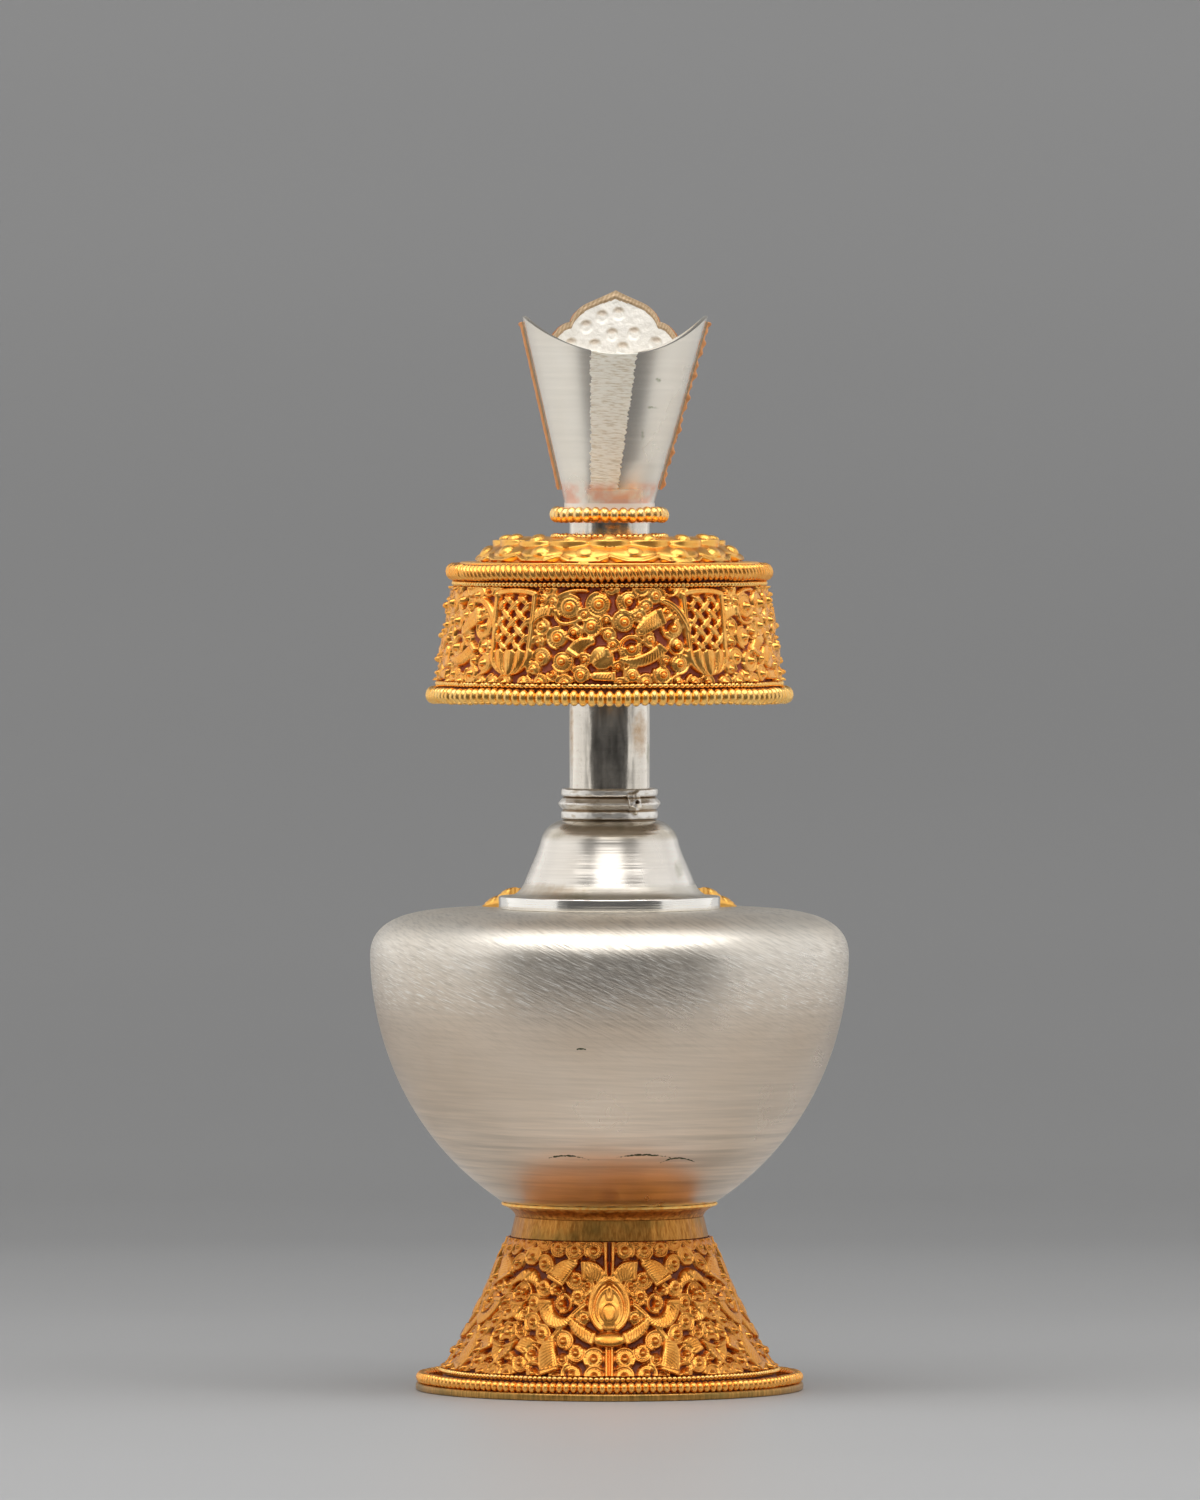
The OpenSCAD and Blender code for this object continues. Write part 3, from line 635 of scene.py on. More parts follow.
def belly_silver():
    """Satin and brushed, scored by slanting scratches, with a few cracks; low down a painted warm reflection
    with lighter painted reflection streaks, and the scratches in the band of dark reflection painted pale as
    glints.
    """
    look = worked_silver("belly_silver", SILVER, 0.31, 1.6, 0.02)
    # Painted reflection: the lower belly is tinted warm, for the table and gilt that it reflects
    look.shade(WARM_REFLECTION_TINT, look.level(93, 70))
    # Painted reflection: lighter upright streaks low down stand in for the streaky reflection of the foot's
    # scrollwork
    painted_reflection_streaks = look.ramp(look.noise(0.9, 3, (0.03, 0.03, 1)), (0.36, 0.98), (0.6, 1.26))
    look.shade(painted_reflection_streaks, look.level(66, 46))
    brushed = look.ramp(look.noise(2.2, 3, (0.035, 0.035, 1), 4), (0.34, 0.965), (0.62, 1.03))
    look.shade(brushed, look.level(88, 74))
    upper = look.level(60, 88)
    strokes = look.noise(3.0, 3, (0.09, 0.09, 1), 26)
    cuts = look.both(look.ramp(strokes, (0.45, 0), (0.75, 1)), upper)
    look.shade(grey(0.78), cuts)
    look.matt(cuts, 0.5)
    look.matt(look.level(89, 93), 0.44)
    look.press(look.both(strokes, upper), 0.07)
    # Painted highlight: the real scratches in the band of dark reflection are painted pale and less metallic,
    # as glints
    scratch_glints = look.ramp(look.noise(5.5, 2, (0.06, 0.06, 1), 23), (0.54, 0), (0.7, 1))
    scratch_glints = look.both(scratch_glints, look.within("Z", 79, 88, 4))
    look.paint(scratch_glints, (0.92, 0.88, 0.81))
    for x, z, half_x, half_z, bow in ((-5.6, 70.0, 0.9, 0.2, 0.1), (-8.5, 47.9, 3.4, 0.2, 0.5),
                                      (6.5, 48.1, 5.0, 0.2, 0.5), (13.5, 47.0, 3.2, 0.16, 0.8)):
        look.paint(look.spot(x, z, half_x, half_z, 1.0, 1.6, bow), CRACK)
    return look.finish(look.ramp(scratch_glints, (0, 1.0), (1, 0.5)))


def bell_silver():
    """Spun: fine rings, a darker brownish band on the round top, a speckled dull band on the flare that is
    partly dirt and partly a painted dark reflection, stains, and a polished flange under it.
    """
    look = worked_silver("bell_silver", PALE_SILVER, 0.26, 2.4, 0.03)
    wall = look.level(Z_SHOULDER + 2.5, Z_SHOULDER + 4)
    look.press(look.both(look.noise(0.8, 2, (0.004, 0.004, 1)), wall), 0.11)
    # A darker brownish band on the round top under the moulding, and a duller grey speckled band on the flare
    # above the flange, partly dirt and partly its dark reflection painted in
    dirt = look.ramp(look.noise(0.2, 4), (0.3, 0.4), (0.62, 0.95))
    for low, high, soft, tint in ((Z_MOULDING - 2.6, Z_MOULDING + 5, 1.8, (0.52, 0.46, 0.36)),
                                  (Z_SHOULDER + 2.8, Z_SHOULDER + 4.6, 1.2, (0.66, 0.62, 0.54))):
        look.paint(look.both(look.within("Z", low, high, soft), dirt), tint)
    look.matt(look.within("Z", Z_SHOULDER + 2.6, Z_SHOULDER + 4.4, 0.8), 0.42)
    look.stains(((-12, Z_SHOULDER + 4, 8, 1.8, (0.50, 0.36, 0.22)), (13.9, 104.6, 1.2, 2.4, OLIVE),
                 (2.2, Z_MOULDING - 1.2, 1.2, 1.2, OLIVE), (-6, 99, 3.0, 1.4, OLIVE)), 0.7, 0.4, 0.7, -0.8)
    flange = look.within("Z", Z_SHOULDER - 1, Z_SHOULDER + 2.5, 0.1)
    look.paint(flange, (0.95, 0.92, 0.86))
    look.matt(flange, 0.14)
    return look.finish()


def tube_silver():
    """Polished tube, drawn a little uneven, with dark reflection streaks painted down its middle, soft
    stains, and solder near the crown.
    """
    look = worked_silver("tube_silver", SILVER, 0.14, 1.2, 0.006)
    look.press(look.noise(0.09, 1, (1, 1, 0.6)), 0.8)
    look.press(look.noise(0.35, 2, (1, 1, 0.5)), 0.07)
    # Painted reflection: dark upright streaks down the tube's middle stand in for the dark room in front that
    # it reflects
    painted_reflection_streaks = look.ramp(look.noise(0.9, 4, (1, 1, 0.16)), (0.36, 0.55), (0.62, 1.0))
    look.shade(painted_reflection_streaks, look.within("X", -4.5, 4.5, 1.0))
    look.paint(look.ramp(look.noise(1.3, 3), (0.6, 0), (0.72, 0.3)), (0.48, 0.42, 0.30))
    solder_z = (Z_CAP_TOP + Z_RING) / 2
    look.stains(((6.0, 131.5, 1.9, 5.0, TAN), (7.7, 127.5, 0.4, 2.8, OLIVE), (-7.6, 132, 0.5, 9, TAN),
                 (-1.5, solder_z - 0.6, 3.4, 1.6, OLIVE), (2.4, solder_z, 2.8, 1.6, YELLOW_GOLD),
                 (0.5, solder_z + 1, 1.8, 0.8, GOLD)), 0.85, 0.4, 0.7, -0.6, 0.34)
    return look.finish()


def moulding_silver():
    """Whitish, filed by hand, with brown in the hollows between the ridges."""
    look = worked_silver("moulding_silver", (0.93, 0.90, 0.85), 0.32, 1.9, 0.03)
    look.paint(look.ramp(look.noise(0.5, 3, (1, 1, 2.4)), (0.52, 0), (0.7, 0.7)), (0.52, 0.43, 0.32))
    rise = Z_TUBE - Z_MOULDING
    for share in (0.02, 0.31, 0.72):
        hollow = Z_MOULDING + share * rise
        look.paint(look.within("Z", hollow - 0.1, hollow + 0.1, 0.25), (0.34, 0.25, 0.16))
    # Painted shade: a dark spot in the solder lump's dent stands in for the shade in its pit
    look.paint(look.spot(5.6, Z_MOULDING + 0.6 * rise, 0.5, 0.45, 0.3), (0.12, 0.08, 0.05))
    look.press(look.noise(0.8, 3), 0.12)
    return look.finish()


def crown_silver():
    """Satin, with a strip scraped up the near side, copper showing at the base, and green specks."""
    look = worked_silver("crown_silver", (0.87, 0.82, 0.73), 0.25, 1.2, 0.01)
    low_z, top_z, left, low_right, top_right = 180.4, 208.2, -3.7, 1.6, 5.6
    lean = (top_right - low_right) / (top_z - low_z)
    edge = look.calc("MULTIPLY_ADD", look.axis("Z"), lean, (low_right - lean * low_z) * MM)
    wander = look.calc("SUBTRACT", look.noise(1.7, 2, (0.01, 0.01, 1)), 0.5)
    x = look.calc("MULTIPLY_ADD", wander, 1.6 * MM, look.axis("X"))
    strip = look.both(look.step(x, (left - 0.1) * MM, (left + 0.1) * MM),
                      look.step(look.calc("SUBTRACT", x, edge), 0.1 * MM, -0.1 * MM),
                      look.near(), look.level(low_z - 0.6, low_z))
    ticks = look.noise(4.2, 2, (0.14, 0.14, 1), 3)
    look.paint(strip, look.ramp(ticks, (0.32, (0.74, 0.66, 0.51)), (0.54, (1.0, 0.97, 0.86))))
    look.matt(strip, 0.6)
    look.press(look.both(ticks, strip), 0.10)
    blush = look.ramp(look.noise(0.3, 4), (0.4, 0.05), (0.62, 0.9))
    look.paint(look.both(look.within("Z", Z_FLARE - 8, Z_FLARE + 2.4, 2.2), blush), COPPER)
    solder = look.within("Z", Z_CROWN - 1, Z_CROWN + 0.5, 0.35)
    look.paint(solder, (0.90, 0.83, 0.76))
    look.matt(solder, 0.45)
    below = look.both(look.within("Z", Z_CROWN - 1, low_z - 0.4, 0.4),
                      look.within("X", left, low_right + 4, 1.5))
    look.stains(((8.6, 196.5, 1.3, 0.35, VERDIGRIS), (6.6, 191, 0.3, 1.3, VERDIGRIS),
                 (9.8, 202, 0.6, 0.5, VERDIGRIS)), 0.7, 1.2, 2.2, -0.6)
    return look.finish(look.ramp(look.calc("MAXIMUM", strip, below), (0, 1.0), (1, 0.15)))


def gilt(name, rough, tones, relief, ground, dirt):
    """Gilt copper, painted darker between the two relief values as shade in its hollows and gaps, down to its
    ground at the bottom.
    """
    look = Look(name)
    clouds = look.noise(0.35, 4)
    look.colour = look.mix(look.ramp(clouds, (0.3, 0), (0.72, 1)), *tones)
    look.paint(look.ramp(look.noise(1.6, 3), (0.5, 0), (0.75, dirt)), DEEP_GOLD)
    look.roughness = look.mix(clouds, grey(rough * 0.75), grey(rough * 1.35))
    low, high = relief
    depth = look.relief()
    # Painted shade: low places, the hollows of the chasing and the gaps between beads, are painted dark gold;
    # the lowest take the ground colour, a real red ground on the chased band and painted shade on the wires
    look.paint(look.ramp(depth, (low, 1), (high, 0)), DEEP_GOLD)
    bottom = look.ramp(depth, (low * 0.4, 1), (low, 0))
    look.paint(bottom, ground)
    look.matt(bottom, 0.75)
    look.press(look.noise(3.0, 3), 0.02)
    return look.finish(look.ramp(depth, (low * 0.4, 0.35), (low, 1)))


def scraped_gilt(name, low, high, patina):
    """Gilt scraped by upright tool marks, with a patina in places."""
    look = Look(name)
    marks = look.noise(2.4, 3, (1, 1, 0.12))
    look.colour = look.mix(look.ramp(marks, (0.35, 0), (0.65, 1)), low, high)
    look.paint(look.ramp(look.noise(0.12, 4), (0.5, 0), (0.68, 0.75)), patina)
    look.roughness = look.mix(marks, grey(0.26), grey(0.5))
    look.press(marks, 0.04)
    return look.finish()


def seat_gilt():
    """A flare painted dark as its shaded underside and the dark collar it reflects, its rim painted pale
    yellow as a highlight.
    """
    look = Look("gilt_seat")
    uneven = look.calc("SUBTRACT", look.noise(0.5, 3), 0.5)
    height = look.calc("MULTIPLY_ADD", uneven, 1.6 * MM, look.axis("Z"))
    # Painted highlight: the uneven upper rim is painted pale yellow
    bright = look.step(height, (Z_BOWL - 1.1) * MM, (Z_BOWL - 0.5) * MM)
    # Painted shade and reflection: the flare is coloured dark orange-brown, mottled by noise, for its shaded
    # underside and the dark collar it reflects
    painted_shade_mottle = look.ramp(look.noise(1.2, 3), (0.35, 0), (0.65, 1))
    look.colour = look.mix(painted_shade_mottle, (0.34, 0.12, 0.02), (0.70, 0.30, 0.06))
    look.paint(bright, look.ramp(look.noise(1.0, 3), (0.35, YELLOW_GOLD), (0.6, PALE_GOLD)))
    look.roughness = look.mix(bright, grey(0.42), grey(0.5))
    look.press(look.noise(1.6, 3), 0.06)
    return look.finish()


def rough_copper(name, dark, light, metallic):
    """Bare or tarnished copper that is seen only behind other pieces."""
    look = Look(name)
    grain = look.noise(1.2, 4)
    look.colour = look.mix(grain, dark, light)
    look.roughness = look.mix(grain, grey(0.5), grey(0.8))
    look.press(grain, 0.05)
    return look.finish(metallic)


def leaf_face():
    """The crown's leaf: pale inside with a brown shadow painted at the top of each dent, a brown milled brim,
    and gilt chasing outside, painted darker in its hollows.
    """
    look = Look("leaf_gilt")
    kind = look.relief()
    # Values below LEAF_PALE are the dents' painted shadows, darkening to brown; the gilt stops from LEAF_GILT
    # up paint the chasing darker low down as shade
    look.colour = look.ramp(kind, (0.0, (0.46, 0.30, 0.17)), (0.24, (0.93, 0.84, 0.72)),
                            (LEAF_PALE, (1.0, 0.96, 0.88)), (LEAF_BRIM, (0.50, 0.34, 0.19)),
                            (0.50, (0.78, 0.60, 0.40)), (LEAF_COPPER, (0.86, 0.42, 0.19)),
                            (LEAF_GILT, DEEP_GOLD), (0.75, GOLD), (1.0, BRIGHT_GOLD))
    look.shade(look.ramp(look.noise(0.35, 4), (0.4, 1), (0.75, 0.88)))
    look.roughness = look.ramp(kind, (LEAF_PALE, 0.6), (LEAF_GILT - 0.02, 0.5), (LEAF_GILT + 0.02, 0.34))
    look.press(look.noise(0.7, 4), 0.3)
    look.press(look.noise(2.4, 3), 0.05)
    return look.finish(look.ramp(kind, (LEAF_PALE + 0.02, 0.12), (LEAF_COPPER, 1.0)))


BELLY_SILVER = belly_silver()
BELL_SILVER = bell_silver()
TUBE_SILVER = tube_silver()
MOULDING_SILVER = moulding_silver()
CROWN_SILVER = crown_silver()
BEAD_GAPS = (0.45, 0.62)  # bead sizes between which a wire is painted darker, as shade in the gaps between beads
GILT_WIRE = gilt("gilt_wire", 0.25, (YELLOW_GOLD, PALE_GOLD), BEAD_GAPS, DEEP_GOLD, 0.2)
GILT_RING = gilt("gilt_ring", 0.25, (BRIGHT_GOLD, (1.0, 0.74, 0.34)), BEAD_GAPS, DEEP_GOLD, 0.15)
GILT_ROPE = gilt("gilt_rope", 0.25, (GOLD, BRIGHT_GOLD), BEAD_GAPS, DEEP_GOLD, 0.3)
GILT_RELIEF = gilt("gilt_relief", 0.26, (GOLD, BRIGHT_GOLD), (0.15, 0.48), GROUND, 0.35)
GILT_CAP = gilt("gilt_cap", 0.33, (YELLOW_GOLD, (1.0, 0.58, 0.14)), (0.10, 0.42), (0.84, 0.34, 0.07), 0.2)
# The foot's ground is painted darker than the band's: partly its red ground, partly painted shade in its
# deeper pockets
GILT_FOOT = gilt("gilt_foot", 0.26, (FOOT_GOLD, FOOT_LIGHT), (0.15, 0.55), (0.19, 0.05, 0.026), 0.6)
COLLAR = scraped_gilt("gilt_collar", (0.36, 0.14, 0.025), (0.58, 0.27, 0.06), (0.22, 0.14, 0.035))
RIM = scraped_gilt("gilt_rim", (0.30, 0.16, 0.04), (0.58, 0.32, 0.09), (0.20, 0.15, 0.05))
SEAT = seat_gilt()
DARK_GROUND = rough_copper("red_ground", (0.16, 0.045, 0.028), (0.30, 0.10, 0.05), 0.4)
DULL_COPPER = rough_copper("dull_copper", (0.36, 0.30, 0.23), (0.50, 0.43, 0.34), 1.0)
LEAF = leaf_face()


# foot

def cone_r(z):
    """Radius of the plain cone under the scrollwork."""
    hollow = 1.3
    t = (z - Z_CONE) / (Z_COLLAR - Z_CONE)
    return LINER_R + (FOOT_TOP_R - LINER_R) * t - 4 * hollow * t * (1 - t)


def foot_motifs(plan):
    """One half of the mirrored design round the foot, in millimetres from its middle line."""
    plan.stem([(0.75, 31), (0.75, 29), (0.7, 27), (0.6, 24.2)], 0.42, 1.3)
    plan.stem([(0.6, 24.2), (1.6, 22.8), (3.2, 21.6), (4.6, 20.2)], 0.5, 1.25, 0.3)
    plan.stem([(4.8, 18.4), (7.2, 16.6), (9.6, 14.0), (11.8, 11.4)], 0.6, 1.3, 0.35)
    plan.leaf([(1.4, 22.8), (2.0, 24.4), (3.4, 25.2), (5.4, 25.0)], 2.0, 1.4, -0.2)
    plan.leaf([(7.0, 26.4), (8.4, 25.8), (10.0, 24.4), (10.8, 22.6)], 2.0, 1.4, 0.25, 0.5)
    plan.leaf([(7.2, 16.0), (9.8, 13.6), (13.2, 15.2), (12.8, 19.4)], 1.5, 1.45, 0.3)
    plan.leaf([(11.4, 11.8), (12.4, 10.4), (12.8, 7.8), (11.8, 5.2)], 2.1, 1.4, 0.25)
    plan.leaf([(15.0, 11.0), (16.2, 11.6), (17.6, 10.9), (18.4, 9.0)], 1.3, 1.4, -0.3)
    plan.leaf([(14.8, 21.6), (15.4, 23.6), (16.8, 24.4), (18.2, 23.4)], 1.25, 1.4, 0.3)
    plan.leaf([(18.0, 15.2), (19.4, 15.6), (20.4, 17.0), (20.0, 18.8)], 1.3, 1.4, 0.3)
    plan.leaf([(23.2, 6.4), (24.4, 7.4), (24.8, 9.2), (24.0, 10.8)], 1.3, 1.4, 0.3)
    # Bud: nested petals round an oval boss
    plan.boss(0, 18.0, 4.0, 4.6, 0.45, 0.95, 0.3)
    plan.stem([(0.0, 23.6), (3.2, 22.8), (5.4, 16.6), (1.6, 13.9)], 0.7, 1.35, 0.2)
    plan.stem([(0.0, 21.8), (2.3, 21.0), (3.6, 16.8), (1.4, 14.6)], 0.5, 1.25)
    plan.stem([(0.0, 22.0), (0.6, 21.2), (0.4, 20.4), (0.2, 19.6)], 0.5, 1.3)
    plan.boss(0, 16.8, 2.0, 2.4, 0.85, 1.15, 0.3)
    plan.boss(0, 16.8, 1.45, 1.85, 1.0, 1.5, 0.35)
    # Garland of swelling bars
    plan.boss(0, 11.6, 3.3, 1.45, 0.6, 1.5, 0.45)
    plan.leaf([(7.6, 15.4), (6.4, 13.6), (4.8, 12.4), (2.8, 11.8)], 1.35, 1.45, 0.1, 0.6)
    plan.stem([(0.55, 9.8), (0.55, 8.0), (0.55, 6.0), (0.55, 3.8)], 0.36, 1.1)
    for x, z, r in ((3.0, 28.9, 1.75), (6.9, 28.9, 1.6), (10.4, 29.2, 1.35), (6.1, 20.0, 1.5),
                    (9.3, 18.6, 1.7), (3.0, 8.0, 1.85), (6.5, 9.2, 1.6), (9.0, 11.4, 1.7), (2.9, 4.6, 1.75),
                    (7.4, 5.0, 1.9), (15.4, 5.2, 1.8), (13.4, 21.6, 1.5), (21.6, 4.8, 1.6)):
        hand = 1 if x < 6 else -1
        plan.curl(x, z, r, hand, 0.3 * x, x in (9.3, 7.4, 15.4))
        plan.wrap(x, z, r, 0.3 * x, 0.5 * hand)


def foot_scrollwork():
    sectors = 4
    half = int(round(TURN * LINER_R / CELL / (2 * sectors)))
    z = np.linspace(Z_SCROLL, Z_COLLAR, int((Z_COLLAR - Z_SCROLL) / CELL / 0.9))
    radius = cone_r(z) + 2 * FILM
    sweep = TURN / (2 * sectors)
    plan = Relief((np.arange(half) + 0.5) * sweep / half, z, radius, ((1, 0), (-1, 0), (-1, 2 * sweep)))
    plan.repeat(foot_motifs, plan)
    plan.fill(1.9)
    plan.web()
    top = unit((z - Z_COLLAR + 3.5) / 2.5)[:, None]
    heights = plan.softened() * (1 - 0.4 * top)
    heights = np.tile(np.concatenate([heights[:, ::-1], heights], axis=1), (1, sectors))
    heights = np.roll(heights, -half, axis=1)
    chased_wall("foot_scrollwork_chased", "foot_scrollwork", "vase", GILT_FOOT, z, radius, heights, FILM)


def foot():
    ledge = 1.2
    rim_in = LINER_R - GILT_T - ledge
    outline = rounded([(rim_in, 0, 0.2), (FOOT_R, 0, 0.5), (FOOT_R, Z_CONE, 0.6), (rim_in, Z_CONE, 0.2)])
    lathe("foot_rim_turned", outline, RIM, "vase", ["foot_rim"])
    wire_d = 2.4
    centre, half = (FOOT_R - wire_d / 2, Z_CONE + wire_d * 0.42), (wire_d / 2, wire_d / 2)
    beaded_ring("foot_wire_beads", "foot_wire", "vase", GILT_ROPE, centre, half, 166, MILLED)
    centre, half = wire_of("foot_fine_wire")
    beaded_ring("foot_fine_beads", "foot_fine_wire", "vase", GILT_WIRE, centre, half, 200, **FINE)
    foot_scrollwork()
    outline = rounded([(FOOT_TOP_R - GILT_T, Z_COLLAR, 0.1), (FOOT_TOP_R, Z_COLLAR, 0.25),
                       (SEAT_LOW_R, Z_SEAT, 0.2), (SEAT_LOW_R - GILT_T, Z_SEAT, 0.1)])
    lathe("foot_collar_band", outline, COLLAR, "vase", ["foot_collar"],
          wobble=lambda a, z: 0.05 * np.sin(37 * a) + 0.04 * np.sin(61 * a + 1))


# belly

def seat():
    flare = bezier([(SEAT_LOW_R, Z_SEAT), (SEAT_LOW_R + 0.3, Z_SEAT + 1.1),
                    (SEAT_R - 0.9, Z_BOWL - 0.6), (SEAT_R, Z_BOWL - 0.35)], 10)
    lip = [(SEAT_R, Z_BOWL - 0.1), (SEAT_R - 0.2, Z_BOWL + 0.15), (SEAT_R - 0.5, Z_BOWL)]
    outline = np.vstack([[(SEAT_LOW_R - GILT_T, Z_SEAT)], flare, lip])
    lathe("belly_seat_flare", outline, SEAT, "vase", ["belly_seat"],
          wobble=lambda a, z: (z > Z_BOWL - 1) * (0.06 * np.sin(23 * a) + 0.05 * np.sin(41 * a + 2)))


def belly():
    low_r = SEAT_R - 0.5 - FILM
    base_r = SEAT_LOW_R - GILT_T - FILM
    rise = Z_WIDE - Z_BOWL
    side = bezier([(low_r, Z_BOWL), (BELLY_R - 1.6, Z_BOWL + rise * 0.33),
                   (BELLY_R, Z_WIDE - rise * 0.13), (BELLY_R, Z_WIDE)], 72)
    inner = shifted(side, SILVER_T)[::-1]
    inner[:, 1] = np.minimum(inner[:, 1], Z_WIDE)
    floor_z = Z_SEAT + SILVER_T
    floor = [(base_r - SILVER_T, floor_z), (0, floor_z)]
    outline = np.vstack([[(0, Z_SEAT), (base_r, Z_SEAT)], side, inner, floor])
    bowl_shape("belly_bowl_raised", outline, BELLY_SILVER, "vase", ["belly_bowl"])
    flat_r = 30
    hole_r = FERRULE_R + FILM
    drop = Z_SHOULDER - Z_WIDE
    top = bezier([(BELLY_R, Z_WIDE), (BELLY_R, Z_WIDE + drop * 0.7),
                  (flat_r + (BELLY_R - flat_r) * 0.65, Z_SHOULDER), (flat_r, Z_SHOULDER)], 56)
    inner = shifted(top, SILVER_T)[::-1]
    inner[:, 1] = np.maximum(inner[:, 1], Z_WIDE)
    lap_r, lap_z = BELLY_R - SILVER_T - 0.4, Z_WIDE - 3
    lap = [(lap_r - SILVER_T, Z_WIDE + SILVER_T), (lap_r - SILVER_T, lap_z), (lap_r, lap_z), (lap_r, Z_WIDE)]
    outline = np.vstack([top, [(hole_r, Z_SHOULDER), (hole_r, Z_SHOULDER - SILVER_T)], inner[:-1], lap])
    lathe("belly_shoulder_raised", outline, BELLY_SILVER, "vase", ["belly_shoulder"], 224)


# neck

def bell():
    flare_z, round_z = Z_SHOULDER + 5.6, Z_MOULDING - 4.3
    low_r, high_r = 16.9, 13.8
    z_flange = Z_SHOULDER + 2.6
    side_h = round_z - flare_z
    flange = rounded([(FLANGE_R - 3, Z_SHOULDER, 0), (FLANGE_R, Z_SHOULDER, 0.3),
                      (FLANGE_R, z_flange, 0.45), (FLANGE_R - 1.2, z_flange, 0)], 14)
    flare = bezier([(FLANGE_R - 1.8, z_flange), (low_r + 1.6, z_flange + 0.1),
                    (low_r + 0.6, flare_z - 1.5), (low_r, flare_z)], 16)
    side = bezier([(low_r, flare_z), (low_r - 0.8, flare_z + side_h * 0.3),
                   (high_r + 0.5, round_z - side_h * 0.3), (high_r, round_z)], 16)
    top = bezier([(high_r, round_z), (high_r - 0.5, round_z + 2.4),
                  (NECK_R + 3.4, Z_MOULDING - 0.4), (NECK_R + 1.5, Z_MOULDING)], 16)
    hole = [(BORE_R, Z_MOULDING), (BORE_R, Z_MOULDING - SILVER_T)]
    outline = np.vstack([[(SPIGOT_R - SILVER_T, Z_SHOULDER)], flange, flare, side[1:], top[1:], hole,
                         shifted(top, SILVER_T)[::-1], shifted(side, SILVER_T)[::-1]])
    lathe("neck_bell_spun", outline, BELL_SILVER, "neck", ["neck_bell"], 160)


def moulding():
    """Two rounded ridges with a sharper one between them."""
    z = np.linspace(Z_MOULDING, Z_TUBE, 61)
    t = (z - Z_MOULDING) / (Z_TUBE - Z_MOULDING)
    r = NECK_R + 0.9 + 0 * t
    for centre, width, tall in ((0.17, 0.15, 0.68), (0.87, 0.13, 0.66)):
        r += tall * np.sqrt(unit(1 - ((t - centre) / width) ** 4))
    r += 1.2 * unit(1.15 - np.abs(t - 0.52) / 0.19) ** 0.8
    outline = np.vstack([np.stack([r, z], axis=1), [(BORE_R, Z_TUBE), (BORE_R, Z_MOULDING)]])
    lathe("neck_moulding_turned", outline, MOULDING_SILVER, "neck", ["neck_moulding"], 128, 60,
          lambda a, z: 0.04 * np.sin(19 * a + 3 * z) * (z > Z_MOULDING + 0.2) * (z < Z_TUBE - 0.2))


def solder_lump():
    """The lump of solder that closes the moulding's ring: a dented blob, half sunk in its ridges."""
    rows, columns = 26, 36
    deep, wide, tall = 1.35, 1.45, 2.3
    centre = np.array([4.9, -8.5, Z_MOULDING + 0.6 * (Z_TUBE - Z_MOULDING)])
    out = np.array([0.5, -0.866, 0])
    side = np.array([0.866, 0.5, 0])
    polar = np.linspace(0, math.pi, rows + 2)[1:-1, None]
    around = circle(columns)[None, :]
    swell = 1 + 0.12 * np.sin(3 * around + 4 * polar) + 0.1 * np.sin(5 * around - 3 * polar)
    swell -= 0.34 * np.exp(-((polar - 0.5) / 0.3) ** 2 - (np.sin((around - 0.6) / 2) / 0.35) ** 2)
    forward = deep * swell * np.cos(polar)
    sideways = wide * swell * np.sin(polar) * np.cos(around)
    upward = tall * swell * np.sin(polar) * np.sin(around)
    ball = centre + forward[..., None] * out + sideways[..., None] * side + upward[..., None] * (0, 0, 1)
    verts = np.vstack([ball.reshape(-1, 3), centre + (deep - 0.1) * out, centre - deep * out])
    faces = [face[::-1] for face in capped_faces(rows, columns)]
    piece("moulding_solder", verts, faces, MOULDING_SILVER, "neck")


# disc

def wall_r(z):
    """Radius of the plain drum under the band."""
    return WALL_R + (CAP_RIM_R - WALL_R) * (z - Z_WALL) / (Z_WALL_TOP - Z_WALL)


def lattice_motifs(plan):
    """A framed lattice on a half lotus, where two of the band's sectors meet."""
    plan.lattice(0, 11.9, 7.2, 10.6)
    plan.lotus(0, 6.2, 10.6, 4.8)
    plan.stem([(-4.6, 17.6), (-2, 18.4), (2, 18.4), (4.6, 17.6)], 0.7, 1.3, 0.3)
    for side in (-1, 1):
        plan.stem([(4.5 * side, 17.4), (4.5 * side, 14), (4.4 * side, 10), (4.2 * side, 6.8)], 0.7, 1.3, 0.3)


